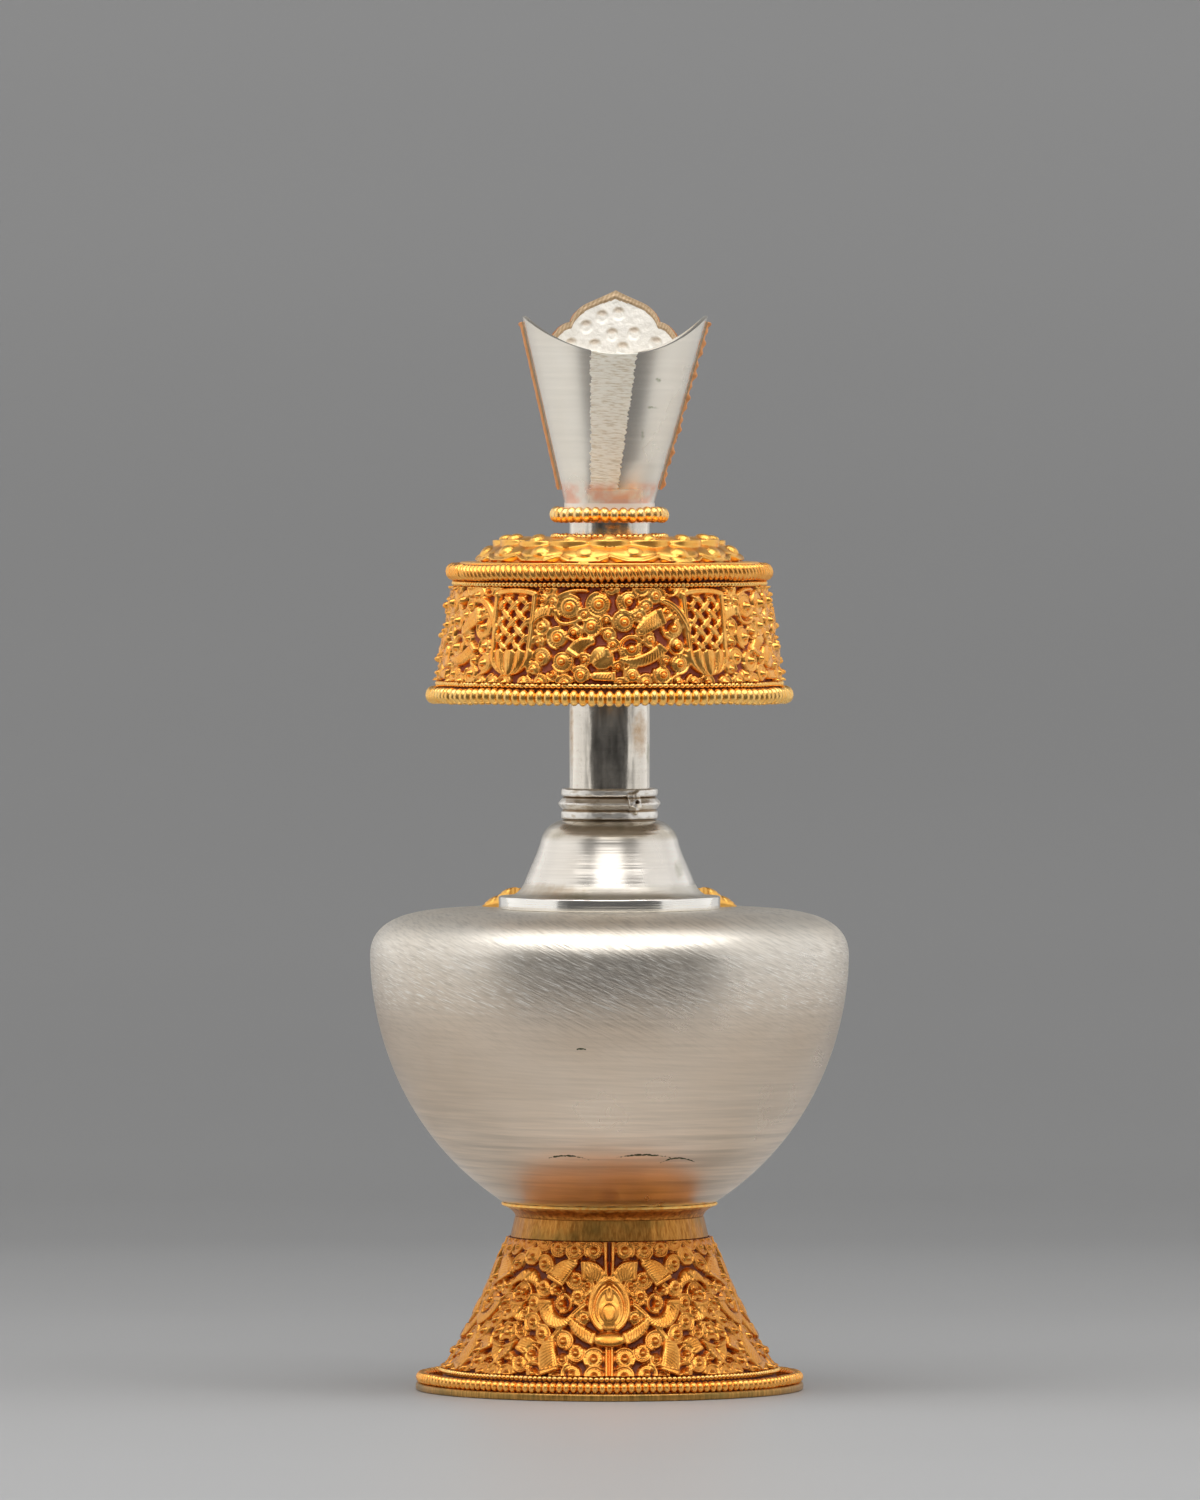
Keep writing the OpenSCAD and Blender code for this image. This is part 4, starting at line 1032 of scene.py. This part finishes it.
def band_motifs(plan):
    """The scrolls of one of the band's sectors, from its middle line and the band's foot."""
    plan.leaf([(6.2, 10.4), (7.2, 11.4), (9.0, 12.8), (10.8, 13.4)], 1.8, 1.45, 0.25, 0.7)
    plan.leaf([(2.2, 4.8), (5.0, 3.3), (8.8, 4.8), (10.7, 7.4)], 1.35, 1.45, -0.25)
    plan.leaf([(-3.5, 8.3), (-4.8, 8.2), (-6.6, 7.2), (-7.4, 5.5)], 1.5, 1.4, 0.25, 0.6)
    plan.leaf([(-2.7, 1.4), (-1.6, 1.4), (0.2, 1.4), (1.4, 1.4)], 1.05, 1.3, 0.1, 0.9)
    plan.leaf([(-15.4, 11.8), (-14.6, 13.8), (-12.8, 14.8), (-11.0, 14.0)], 1.15, 1.35, 0.2)
    plan.stem([(-10.1, 17.1), (-8.6, 18.2), (-6.4, 18.5), (-4.4, 18.3)], 0.45, 1.1)
    plan.stem([(-10.7, 14.2), (-10.8, 11.6), (-8.6, 11.0), (-5.8, 12.6)], 0.45, 1.2, 0.2)
    plan.stem([(10.7, 16.2), (13.0, 15.6), (14.4, 13.8), (16.0, 10.5)], 0.8, 1.35, 0.35)
    # Bud with a folded leaf in it
    plan.boss(-1.4, 5.0, 2.4, 2.4, 0.7, 1.2, 0.4)
    plan.leaf([(-3.0, 3.9), (-2.2, 5.0), (-1.2, 5.8), (0.2, 6.3)], 1.0, 1.5, 0.1)
    for x, z, r in ((-7.8, 15.0, 2.36), (-2.0, 15.6, 2.3), (3.8, 16.1, 2.2), (9.1, 17.2, 1.6),
                    (14.9, 17.4, 1.2), (-3.5, 11.2, 1.9), (-0.2, 9.5, 1.3), (2.9, 12.1, 2.1), (4.3, 6.9, 2.3),
                    (12.7, 10.9, 2.2), (-10.2, 9.0, 2.0), (-9.3, 4.3, 2.0), (-13.5, 5.0, 1.65),
                    (-5.6, 1.6, 1.6), (4.5, 1.6, 1.5), (10.6, 1.7, 1.7), (14.1, 3.8, 1.8)):
        hand = -1 if x > 4 else 1
        plan.curl(x, z, r, hand, 0.37 * x, x in (3.8, 4.3, 12.7))
        plan.wrap(x, z, r, 0.37 * x, 0.5 * hand)


def disc_band():
    sectors = 5
    sweep = TURN / sectors
    columns = int(round(TURN * WALL_R / CELL / sectors))
    z = np.linspace(Z_BAND, Z_BAND_TOP, int((Z_BAND_TOP - Z_BAND) / CELL))
    radius = wall_r(z) + 2 * FILM
    angle = ((np.arange(columns) + 0.5) / columns - 0.5) * sweep
    plan = Relief(angle, z - Z_BAND, radius, ((1, 0), (1, -sweep), (1, sweep)))
    for shift in (-sweep / 2, sweep / 2):
        plan.place(1, shift)
        lattice_motifs(plan)
    plan.repeat(band_motifs, plan)
    plan.fill(1.7)
    plan.web()
    heights = np.tile(plan.softened(), (1, sectors))
    heights = np.roll(heights, -(columns // 2), axis=1)
    chased_wall("disc_scrollwork_chased", "disc_scrollwork", "neck", GILT_RELIEF, z, radius, heights, FILM)


def disc_wires():
    for node, material, count, slant, steps, around in (
            ("disc_lower_bead", GILT_WIRE, 126, 0.0, 8, 14), ("disc_upper_bead", GILT_ROPE, 144, 0.35, 8, 14),
            ("disc_lower_wire", GILT_WIRE, 190, 0.0, 6, 8), ("disc_upper_wire", GILT_WIRE, 200, 0.0, 6, 8)):
        centre, half = wire_of(node)
        name = node + "_beads"
        beaded_ring(name, node, "neck", material, centre, half, count, MILLED, slant, steps, around)
    outer, low, _ = ring("disc_cap_wire")
    half = 0.75
    centre = (outer - half, low + half)
    beaded_ring("disc_cap_beads", "disc_cap_wire", "neck", GILT_WIRE, centre, (half, half), 60, **FINE)


def petal_row(inward, across, half_wide, length, tall):
    """Heights of petals over the way in from their tips: a turned lip, a boss, then a fall to the root."""
    rise = unit(inward / 0.4) ** 0.5
    arch = 1 - 0.55 * np.abs(across) ** 3
    back = tall * (0.3 + 0.45 * unit(1 - inward / length)) * arch
    lip = 0.4 * fading(inward - 0.55, 0.35) - 0.25 * fading(inward - 1.25, 0.3)
    boss_r = 0.34 * half_wide
    round_in = 1 - ((inward - 1.5 - boss_r) / boss_r) ** 2 - (across * half_wide / boss_r) ** 2
    boss = 0.75 * np.sqrt(unit(round_in))
    return np.where((inward > 0) & (inward < length), (back + lip + boss) * rise, 0)


def lotus_cap():
    """A domed cap with two rows of petals, the upper one lapping over the lower."""
    petals = 16
    foot_r, flat_r, brim = 26, 17.2, Z_CAP + GILT_T
    edge = rounded([(CAP_RIM_R - 2, Z_CAP, 0), (CAP_RIM_R, Z_CAP, 0.2),
                    (CAP_RIM_R, brim, 0.3), (CAP_RIM_R - 2, brim, 0)])
    ledge = np.stack([np.linspace(CAP_RIM_R - 2.4, foot_r + 0.2, 5), np.full(5, brim)], axis=1)
    dome = bezier([(foot_r, brim), (foot_r - 0.6, Z_CAP + 3),
                   (flat_r + 3, Z_CAP_TOP), (flat_r, Z_CAP_TOP)], 90)
    flat = np.stack([np.linspace(flat_r - 0.15, BORE_R, 60), np.full(60, Z_CAP_TOP)], axis=1)
    outline = np.vstack([edge, ledge, dome, flat])
    normal = shifted(outline, -1.0) - outline
    along = lengths(outline)
    plain = len(edge) + len(ledge)
    columns = petals * 30
    angle = circle(columns)
    lift = np.zeros((len(outline), columns))
    for offset, tip, length, tall in ((0.0, -0.7, 6.6, 1.1), (0.5, 4.2, 9.7, 1.6)):
        turn = angle * petals / TURN + offset
        across = (turn % 1 - 0.5) * 2
        uneven = rng.uniform(-1, 1, (2, petals))[:, np.floor(turn).astype(int) % petals]
        scallop = tip + 0.25 * uneven[0] + 1.3 * np.abs(across) ** 2.4
        inward = along[:, None] - along[plain] - scallop
        row = petal_row(inward, across[None, :], math.pi * 22 / petals, length, tall)
        lift = np.maximum(lift, row * (1 + 0.12 * uneven[1]))
    lift *= unit((outline[:, 0:1] - NECK_R - 2) / 2)
    under = Z_CAP_TOP - GILT_T
    back = np.array([(BORE_R, under), (17, under), (24.6, Z_CAP + 1.2), (25.2, Z_CAP)])
    r, z = (np.vstack([outline[:, k, None] + normal[:, k, None] * lift,
                       np.repeat(back[:, k, None], columns, axis=1)]) for k in (0, 1))
    values = 0.06 + lift / 1.6
    values[:plain] = np.maximum(values[:plain], 0.5)
    values = np.vstack([values, np.zeros((len(back), columns))])
    verts, faces = turned(r, angle, z), grid_faces(len(r), columns, True, True)
    piece("disc_lotus_petals", verts, faces, GILT_CAP, "neck", ["disc_lotus_cap"], 70, values)


# crown

def crown_out_r(z):
    """Radius of the crown's outside at a height."""
    socket = BORE_R + SILVER_T
    return socket + (CROWN_R - socket) * np.maximum(z - Z_FLARE, 0) / (Z_TIP - Z_FLARE)


def crown_lean(z):
    """How far the hand-raised crown leans to the right at a height."""
    return 0.03 * np.maximum(z - Z_FLARE, 0)


def crown_skew(angle, z):
    """How far the near face is pushed to the right; the sides stay."""
    return 1.6 * np.where(np.sin(angle) < 0, np.sin(angle) ** 2, 0) * unit((z - Z_FLARE) / 8)


def crown_funnel():
    """The flared mouth: its rim lies on a round cut through both sides."""
    dip, tip = 7.4, Z_TIP + 0.8
    cut_r = (CROWN_R ** 2 + dip ** 2) / (2 * dip)
    centre = tip - dip + cut_r
    columns, rows = 192, 40
    angle = circle(columns)
    top = np.full(columns, tip)
    for _ in range(12):
        x = np.minimum(crown_out_r(top) * np.abs(np.cos(angle)), cut_r)
        top = centre - np.sqrt(cut_r ** 2 - x ** 2)
    t = np.linspace(0, 1, rows)[:, None]
    low = np.full((2, columns), Z_RING)
    low[1] = Z_FLARE - 0.6
    z = np.vstack([low, Z_FLARE + (top - Z_FLARE) * t])
    outer = crown_out_r(z)
    inner = np.where(z > Z_FLARE - 0.7, np.maximum(outer - SILVER_T, BORE_R), BORE_R)
    lip = z[-1:] + 0.12
    z = np.vstack([z, lip, z[::-1]])
    r = np.vstack([outer, (outer[-1:] + inner[-1:]) / 2, inner[::-1]])
    x = r * np.cos(angle) + crown_lean(z) + crown_skew(angle, z)
    verts = np.stack([x, r * np.sin(angle), z], axis=-1)
    faces = grid_faces(len(z), columns, True, True)
    piece("crown_funnel_raised", verts, faces, CROWN_SILVER, "neck", ["crown_funnel"], 50)


def leaf_edge():
    """Height of the leaf's edge over its half width."""
    hip, cusp, dip = (5.4, Z_POINT - 2.56), (8.8, Z_TIP), (13.0, Z_TIP - 4.1)
    return np.vstack([
        bezier([(0, Z_POINT), (hip[0] * 0.2, Z_POINT - 0.64), (hip[0] * 0.6, hip[1] + 1), hip], 12),
        bezier([hip, (cusp[0] - 1.6, hip[1] - 0.8), (cusp[0] - 0.3, cusp[1] + 1.4), cusp], 12),
        bezier([cusp, (cusp[0] + 2.2, cusp[1] - 0.3), (dip[0] - 1.2, dip[1] + 2), dip], 12),
        bezier([dip, (dip[0] + 2.3, dip[1] + 0.8), (CROWN_R - 0.8, Z_TIP - 0.6),
                (CROWN_R * 1.1, Z_TIP + 1.6)], 12)])


def leaf_motifs(plan):
    """One half of the design on the leaf's far face, from its middle line."""
    plan.boss(0, 203, 3.0, 3.8, 0.35, 1.0, 0.4)
    plan.boss(0, 202.6, 1.7, 2.2, 0.7, 1.3, 0.4)
    for z, r in ((214.6, 1.8), (197, 1.5), (192.4, 1.5), (188.4, 1.3), (184.8, 1.2)):
        plan.boss(0, z, r, r * 1.2, 0.35, 1.1, 0.5)
    plan.leaf([(1.6, 209), (3.6, 211), (6, 211.4), (7.6, 209.4)], 1.5, 1.15, 0.2)
    plan.leaf([(3.8, 199.6), (6.6, 200.8), (8, 204), (6.4, 207.4)], 1.4, 1.15, 0.2)
    plan.leaf([(2.2, 195), (4.8, 195.6), (6.6, 198), (9, 198.4)], 1.3, 1.15, -0.2)
    plan.leaf([(1.8, 186.4), (4, 187.4), (5, 189.8), (7.2, 190.4)], 1.2, 1.15, 0.2)
    for x, z, r in ((4.2, 215.0, 1.4), (10.6, 207.4, 1.9), (10.4, 202.8, 1.8), (12.0, 198.8, 1.6),
                    (4.2, 192.0, 1.5), (9.4, 194.2, 1.7), (14.6, 206.2, 1.6), (16.0, 201.6, 1.5)):
        plan.curl(x, z, r * 0.95, 1, 0.2 * x)


# Places of the dents on the leaf's pale face, as (x, z) with z from the side tips
LEAF_DENTS = ((0.7, 1.6), (-2.6, 1.0), (-5.7, -1.0), (-0.5, -2.6), (3.9, -2.4), (-3.9, -4.8), (1.7, -5.4),
              (8.3, -4.4), (-8.6, -4.6), (5.6, -7.4), (-1.4, -8.6), (-7.0, -9.2), (11.0, -9.4), (3.2, -11.2),
              (-4.4, -12.6), (8.2, -12.4))


def crown_leaf():
    """A plate on the far half of the crown: chased outside, dented and pale inside, with a milled edge."""
    columns, rows = 300, 220
    phi = np.linspace(0, math.pi, columns)
    edge = leaf_edge()
    low, high = np.full(columns, Z_LEAF + 5), np.full(columns, Z_POINT + 1.0)
    for _ in range(40):
        middle = (low + high) / 2
        x = crown_out_r(middle) * np.abs(np.cos(phi))
        over = middle > np.interp(x, edge[:, 0], edge[:, 1])
        high = np.where(over, middle, high)
        low = np.where(over, low, middle)
    top = low
    z = Z_LEAF + (top[None, :] - Z_LEAF) * np.linspace(0, 1, rows)[:, None]
    inner = crown_out_r(z) + FILM
    outer = inner + 0.35
    # Relief drawn on a plain sector, then read where the leaf's cells lie
    plan_rows, half = 240, 130
    plan_z = np.linspace(Z_LEAF, Z_POINT, plan_rows)
    plan_angle = (np.arange(half) + 0.5) * (math.pi / 2) / half
    plan = Relief(plan_angle, plan_z, crown_out_r(plan_z), ((1, 0), (-1, 0)))
    plan.repeat(leaf_motifs, plan)
    plan.fill(1.3)
    plan.web()
    away = np.abs(phi - math.pi / 2)
    column = np.clip((away / (math.pi / 2) * half).astype(int), 0, half - 1)
    row = np.clip(((z - Z_LEAF) / (Z_POINT - Z_LEAF) * (plan_rows - 1)).astype(int), 0, plan_rows - 1)
    relief = plan.softened()[row, np.repeat(column[None, :], rows, axis=0)] * 0.72
    # Milled border along the upper edge, and two sides of which the right one is knobbly
    right = phi < math.pi / 2
    border_w, border_half = 1.1, 0.55
    below = top[None, :] - z
    aside = (math.pi / 2 - away)[None, :] * outer
    border = np.minimum(np.minimum(below, aside), z - Z_LEAF)
    ticks = 0.5 + 0.5 * np.cos(TURN * np.where(aside < below, z, phi[None, :] * outer) / 0.8)
    rim = hump(border - border_half, border_half) ** 0.5 * (0.55 + 0.25 * ticks)
    relief = relief * np.clip((aside - border_w) / 7, np.where(right, 0.5, 0.12), 1)
    relief = np.where(border < border_w, rim, relief)
    knobs = np.sin(TURN * z / 7.3) * np.sin(TURN * z / 3.1 + 2) * np.where(right, 1.0, 0.08)
    flank = hump(aside - border_half, border_half) ** 0.5
    relief = np.where((aside < border_w) & (aside < below), flank * (0.5 + 0.45 * knobs), relief)
    # Round dents inside, pressed towards the far face, each with a shadow painted over its upper part
    dent_r, dent_slope, dent_deep, fold_deep = 1.4, 0.5, 0.34, 0.22
    x = inner * np.cos(phi)
    dent, dent_shadow = np.zeros_like(z), np.zeros_like(z)
    for dent_x, dent_z in LEAF_DENTS:
        dx, dz = x - dent_x, z - Z_TIP - dent_z
        d = np.hypot(dx, dz)
        dent = np.maximum(dent, unit((dent_r - d) / dent_slope) - 0.3 * unit(1 - d / 0.9))
        over = unit(1 - np.hypot(dx / 1.3, (dz - 0.8) / 0.75))
        dent_shadow = np.maximum(dent_shadow, unit(over * 1.6))
    brim = 1.35 + 0.4 * unit(1 - np.abs(x) / 3)
    inner = inner + dent_deep * dent * (below > brim)
    fold = unit(1 - below / brim)
    inner = inner - fold_deep * unit(fold * 3) * (0.6 + 0.4 * ticks * (below > 0.5 * brim))
    r = np.vstack([outer + relief, inner[::-1]])
    zz = np.vstack([z, z[::-1]])
    # The pale face is painted darker where each dent's painted shadow lies
    kind = np.where(below > brim, LEAF_PALE * (1 - 0.55 * dent_shadow), LEAF_BRIM + 0.05 * ticks)
    # The chasing's value rises with its height, so its low places are painted darker as shade
    chased = np.where(aside < 1.4, LEAF_COPPER + 0.02 * relief, LEAF_GILT + (1 - LEAF_GILT) * relief / 1.1)
    values = np.vstack([chased, kind[::-1]])
    verts = np.stack([r * np.cos(phi) + crown_lean(zz), r * np.sin(phi), zz], axis=-1)
    count, end = 2 * rows, columns - 1
    faces = grid_faces(count, columns, True, False)[:, ::-1].tolist()
    for k in range(rows - 1):
        side = [n * columns for n in (k, k + 1, count - 2 - k, count - 1 - k)]
        faces += [side, [n + end for n in side[::-1]]]
    piece("crown_leaf_chased", verts, faces, LEAF, "neck", ["crown_leaf"], 60, values)


def crown_beads():
    half_z = (Z_CROWN - Z_RING) / 2
    beaded_ring("crown_ring_beads", "crown_ring", "neck", GILT_RING, (RING_R - WIRE_R, Z_RING + half_z),
                (1.5, half_z), 36, 0.8, 0.0, 12, 16)


# shoulder petals

def shoulder_petals():
    """Two rows of rounded petals on a half collar round the far side of the flange."""
    span, petals = math.radians(125), 9
    inner_r, outer_r, tall = FLANGE_R + 0.8, 29.7, 4.8
    rows, columns = 60, petals * 26
    s = np.linspace(0, 1, rows)
    angle = math.pi / 2 + (np.linspace(0, 1, columns) - 0.5) * span
    across = (np.linspace(0, petals, columns) % 1 - 0.5) * 2
    r = inner_r + (outer_r - 0.9 * np.abs(across) ** 2.5 - inner_r) * s[:, None]
    z = Z_SHOULDER + 0.3 + (tall - 1.4) * (1 - s[:, None]) + 0 * angle
    lift = np.zeros((rows, columns))
    half_long = 0.27
    for centre in (0.26, 0.74):
        d = across[None, :] ** 2 / 0.9 + ((s[:, None] - centre) / half_long) ** 2
        groove = 0.12 * fading(d - 0.5, 0.1)
        lift = np.maximum(lift, np.where(d < 1, 0.6 * unit(1 - d) ** 0.45 - groove, 0))
    count = np.arange(columns)
    ends = unit(np.minimum(count, count[::-1]) / 8)
    z = Z_SHOULDER + (z + lift - Z_SHOULDER) * np.sqrt(1 - (1 - ends) ** 2)
    r = np.vstack([r, r[-1:], r[:1]])
    z = np.vstack([z, np.full((2, columns), Z_SHOULDER)])
    faces = grid_faces(rows + 2, columns, True, False)[:, ::-1].tolist()
    side = [k * columns for k in range(rows + 2)]
    faces += [side, [n + columns - 1 for n in side[::-1]]]
    values = np.vstack([0.42 + lift / 0.8, np.full((2, columns), 0.4)])
    verts = turned(r, angle, z)
    piece("shoulder_petals_chased", verts, faces, GILT_CAP, "vase", ["shoulder_petals"], 60, values)


# what stays as CAD solids

STAYING = {"foot_liner": DARK_GROUND, "foot_sleeve": DARK_GROUND, "disc_wall": DARK_GROUND,
           "mouth_ferrule": TUBE_SILVER, "neck_spigot": TUBE_SILVER, "neck_tube": TUBE_SILVER,
           "disc_underside": DULL_COPPER}

for node, material in STAYING.items():
    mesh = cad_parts[node].data
    mesh.materials.clear()
    mesh.materials.append(material)

foot()
seat()
belly()
bell()
moulding()
solder_lump()
disc_band()
disc_wires()
lotus_cap()
crown_funnel()
crown_leaf()
crown_beads()
shoulder_petals()


# stage, light and camera

PIXEL = 0.2                     # millimetres at the vase's axis for one pixel of the 1200 by 1500 image
CAMERA_D, CAMERA_Z = 3050, 200  # camera's distance from the axis and height, in millimetres
AIM_X, AIM_Z = -1.9, 128        # what lies in the middle of the image
IMAGE_H, SENSOR_H = 1500, 36    # image's height in pixels and sensor's height in millimetres


def stage():
    """A floor that sweeps up into a backdrop, painted pale in front and darker towards the back as a painted
    fall-off of light.
    """
    front, reach, bend, wall, half_x = -9000, 700, 500, 2600, 7000
    path = [(front, 0)]
    path += [(reach + bend * math.sin(a), bend - bend * math.cos(a)) for a in np.linspace(0, math.pi / 2, 24)]
    path += [(reach + bend, wall)]
    verts = [(x * MM, y * MM, z * MM) for y, z in path for x in (-half_x, half_x)]
    faces = [(2 * i, 2 * i + 1, 2 * i + 3, 2 * i + 2) for i in range(len(path) - 1)]
    mesh = bpy.data.meshes.new("sweep")
    mesh.from_pydata(verts, [], faces)
    mesh.shade_smooth()
    look = Look("sweep_paper")
    y = look.axis("Y")
    grain = look.noise(0.004, 3, (0.1, 1, 1))
    depth = look.step(y, -0.8, 1.2, "LINEAR")
    # Painted light: the tone falls from pale in front to grey at the back and up the backdrop
    tone = look.ramp(depth, (0.25, 0.455), (0.42, 0.375), (0.68, 0.25), (1.0, 0.255))
    tone = look.mix(0.08, tone, look.ramp(grain, (0.3, 0.2), (0.7, 0.6)))
    # Painted reflections: to glossy rays only, the floor is painted brighter at both sides and as a dark room
    # beyond its near edge, so the metal shows a bright table and a dark room
    ray = look.add("ShaderNodeLightPath").outputs
    nearer = look.calc("MINIMUM", look.calc("ADD", y, 0.25), 0.0)
    aside = look.calc("MULTIPLY_ADD", nearer, 0.9, look.calc("ABSOLUTE", look.axis("X")))
    shown = look.mix(look.step(aside, 0.34, 0.5), look.mix(1.0, tone, grey(1.35), "MULTIPLY"), grey(0.75))
    beyond = look.both(look.step(y, -0.21, -0.31), look.step(aside, 0.52, 0.38))
    room = look.mix(look.step(y, -0.7, -1.5), (0.13, 0.13, 0.135), (0.025, 0.025, 0.03))
    look.colour = look.mix(ray["Is Glossy Ray"], tone, look.mix(beyond, shown, room))
    look.roughness = look.mix(grain, grey(0.35), grey(0.5))
    look.finish(0.0)
    # Seen from behind or from below it is clear, so that it hides nothing
    back = look.both(look.add("ShaderNodeNewGeometry").outputs["Backfacing"], ray["Is Camera Ray"])
    cover = look.add("ShaderNodeMixShader")
    clear = look.add("ShaderNodeBsdfTransparent").outputs[0]
    for socket, source in enumerate((back, look.shader.outputs[0], clear)):
        look.link(source, cover, socket)
    look.link(cover.outputs[0], look.tree.nodes["Material Output"], "Surface")
    mesh.materials.append(look.material)
    obj = link_object("sweep", mesh)


def point(obj, place, aim):
    """Puts a light or the camera in its place and turns it to what it aims at."""
    obj.location = place
    obj.rotation_euler = (Vector(aim) - Vector(place)).to_track_quat("-Z", "Y").to_euler()


def softbox(name, place, aim, size, watts):
    light = bpy.data.lights.new(name, "AREA")
    light.shape = "RECTANGLE"
    light.size, light.size_y = size
    light.energy = watts
    point(link_object(name, light), place, aim)


def lights():
    """Large dim boxes at both sides and overhead; the room in front of the vase stays dark."""
    world = bpy.data.worlds.new("studio")
    world.use_nodes = True
    nodes, links = world.node_tree.nodes, world.node_tree.links
    split = nodes.new("ShaderNodeSeparateXYZ")
    links.new(nodes.new("ShaderNodeTexCoord").outputs["Generated"], split.inputs[0])
    rise = nodes.new("ShaderNodeMapRange")
    for socket, value in (("From Min", 0.04), ("From Max", 0.2), ("To Min", 0.115), ("To Max", 0.25)):
        rise.inputs[socket].default_value = value
    links.new(split.outputs["Z"], rise.inputs["Value"])
    level = nodes.new("ShaderNodeMix")
    links.new(nodes.new("ShaderNodeLightPath").outputs["Is Camera Ray"], level.inputs["Factor"])
    links.new(rise.outputs[0], level.inputs["A"])
    level.inputs["B"].default_value = 0.24
    links.new(level.outputs["Result"], nodes["Background"].inputs["Strength"])
    nodes["Background"].inputs["Color"].default_value = (1.0, 0.99, 0.98, 1)
    bpy.context.scene.world = world
    middle = (0, 0, 0.12)
    softbox("left_box", (-1.1, 0.15, 0.45), middle, (2.2, 1.3), 6.6)
    softbox("right_box", (1.1, 0.15, 0.45), middle, (2.2, 1.3), 5.9)
    softbox("top_box", (0, -0.25, 1.2), middle, (1.9, 1.0), 10.5)
    softbox("front_box", (0, -0.9, 1.0), middle, (0.8, 0.6), 2.6)
    softbox("left_glint", (-0.5, -0.45, 1.25), middle, (0.2, 0.2), 1.0)
    softbox("right_glint", (0.5, -0.45, 1.25), middle, (0.2, 0.2), 1.0)
    softbox("back_box", (0, 0.3, 1.7), (0, 1.2, 0.6), (2.4, 0.5), 2.9)


def camera():
    data = bpy.data.cameras.new("camera")
    data.sensor_fit = "VERTICAL"
    data.sensor_height = SENSOR_H
    data.lens = SENSOR_H * CAMERA_D / (PIXEL * IMAGE_H)
    data.clip_end = 20
    obj = link_object("camera", data)
    point(obj, (AIM_X * MM, -CAMERA_D * MM, CAMERA_Z * MM), (AIM_X * MM, 0, AIM_Z * MM))
    bpy.context.scene.camera = obj


stage()
lights()
camera()
bpy.context.scene.view_settings.view_transform = "Standard"
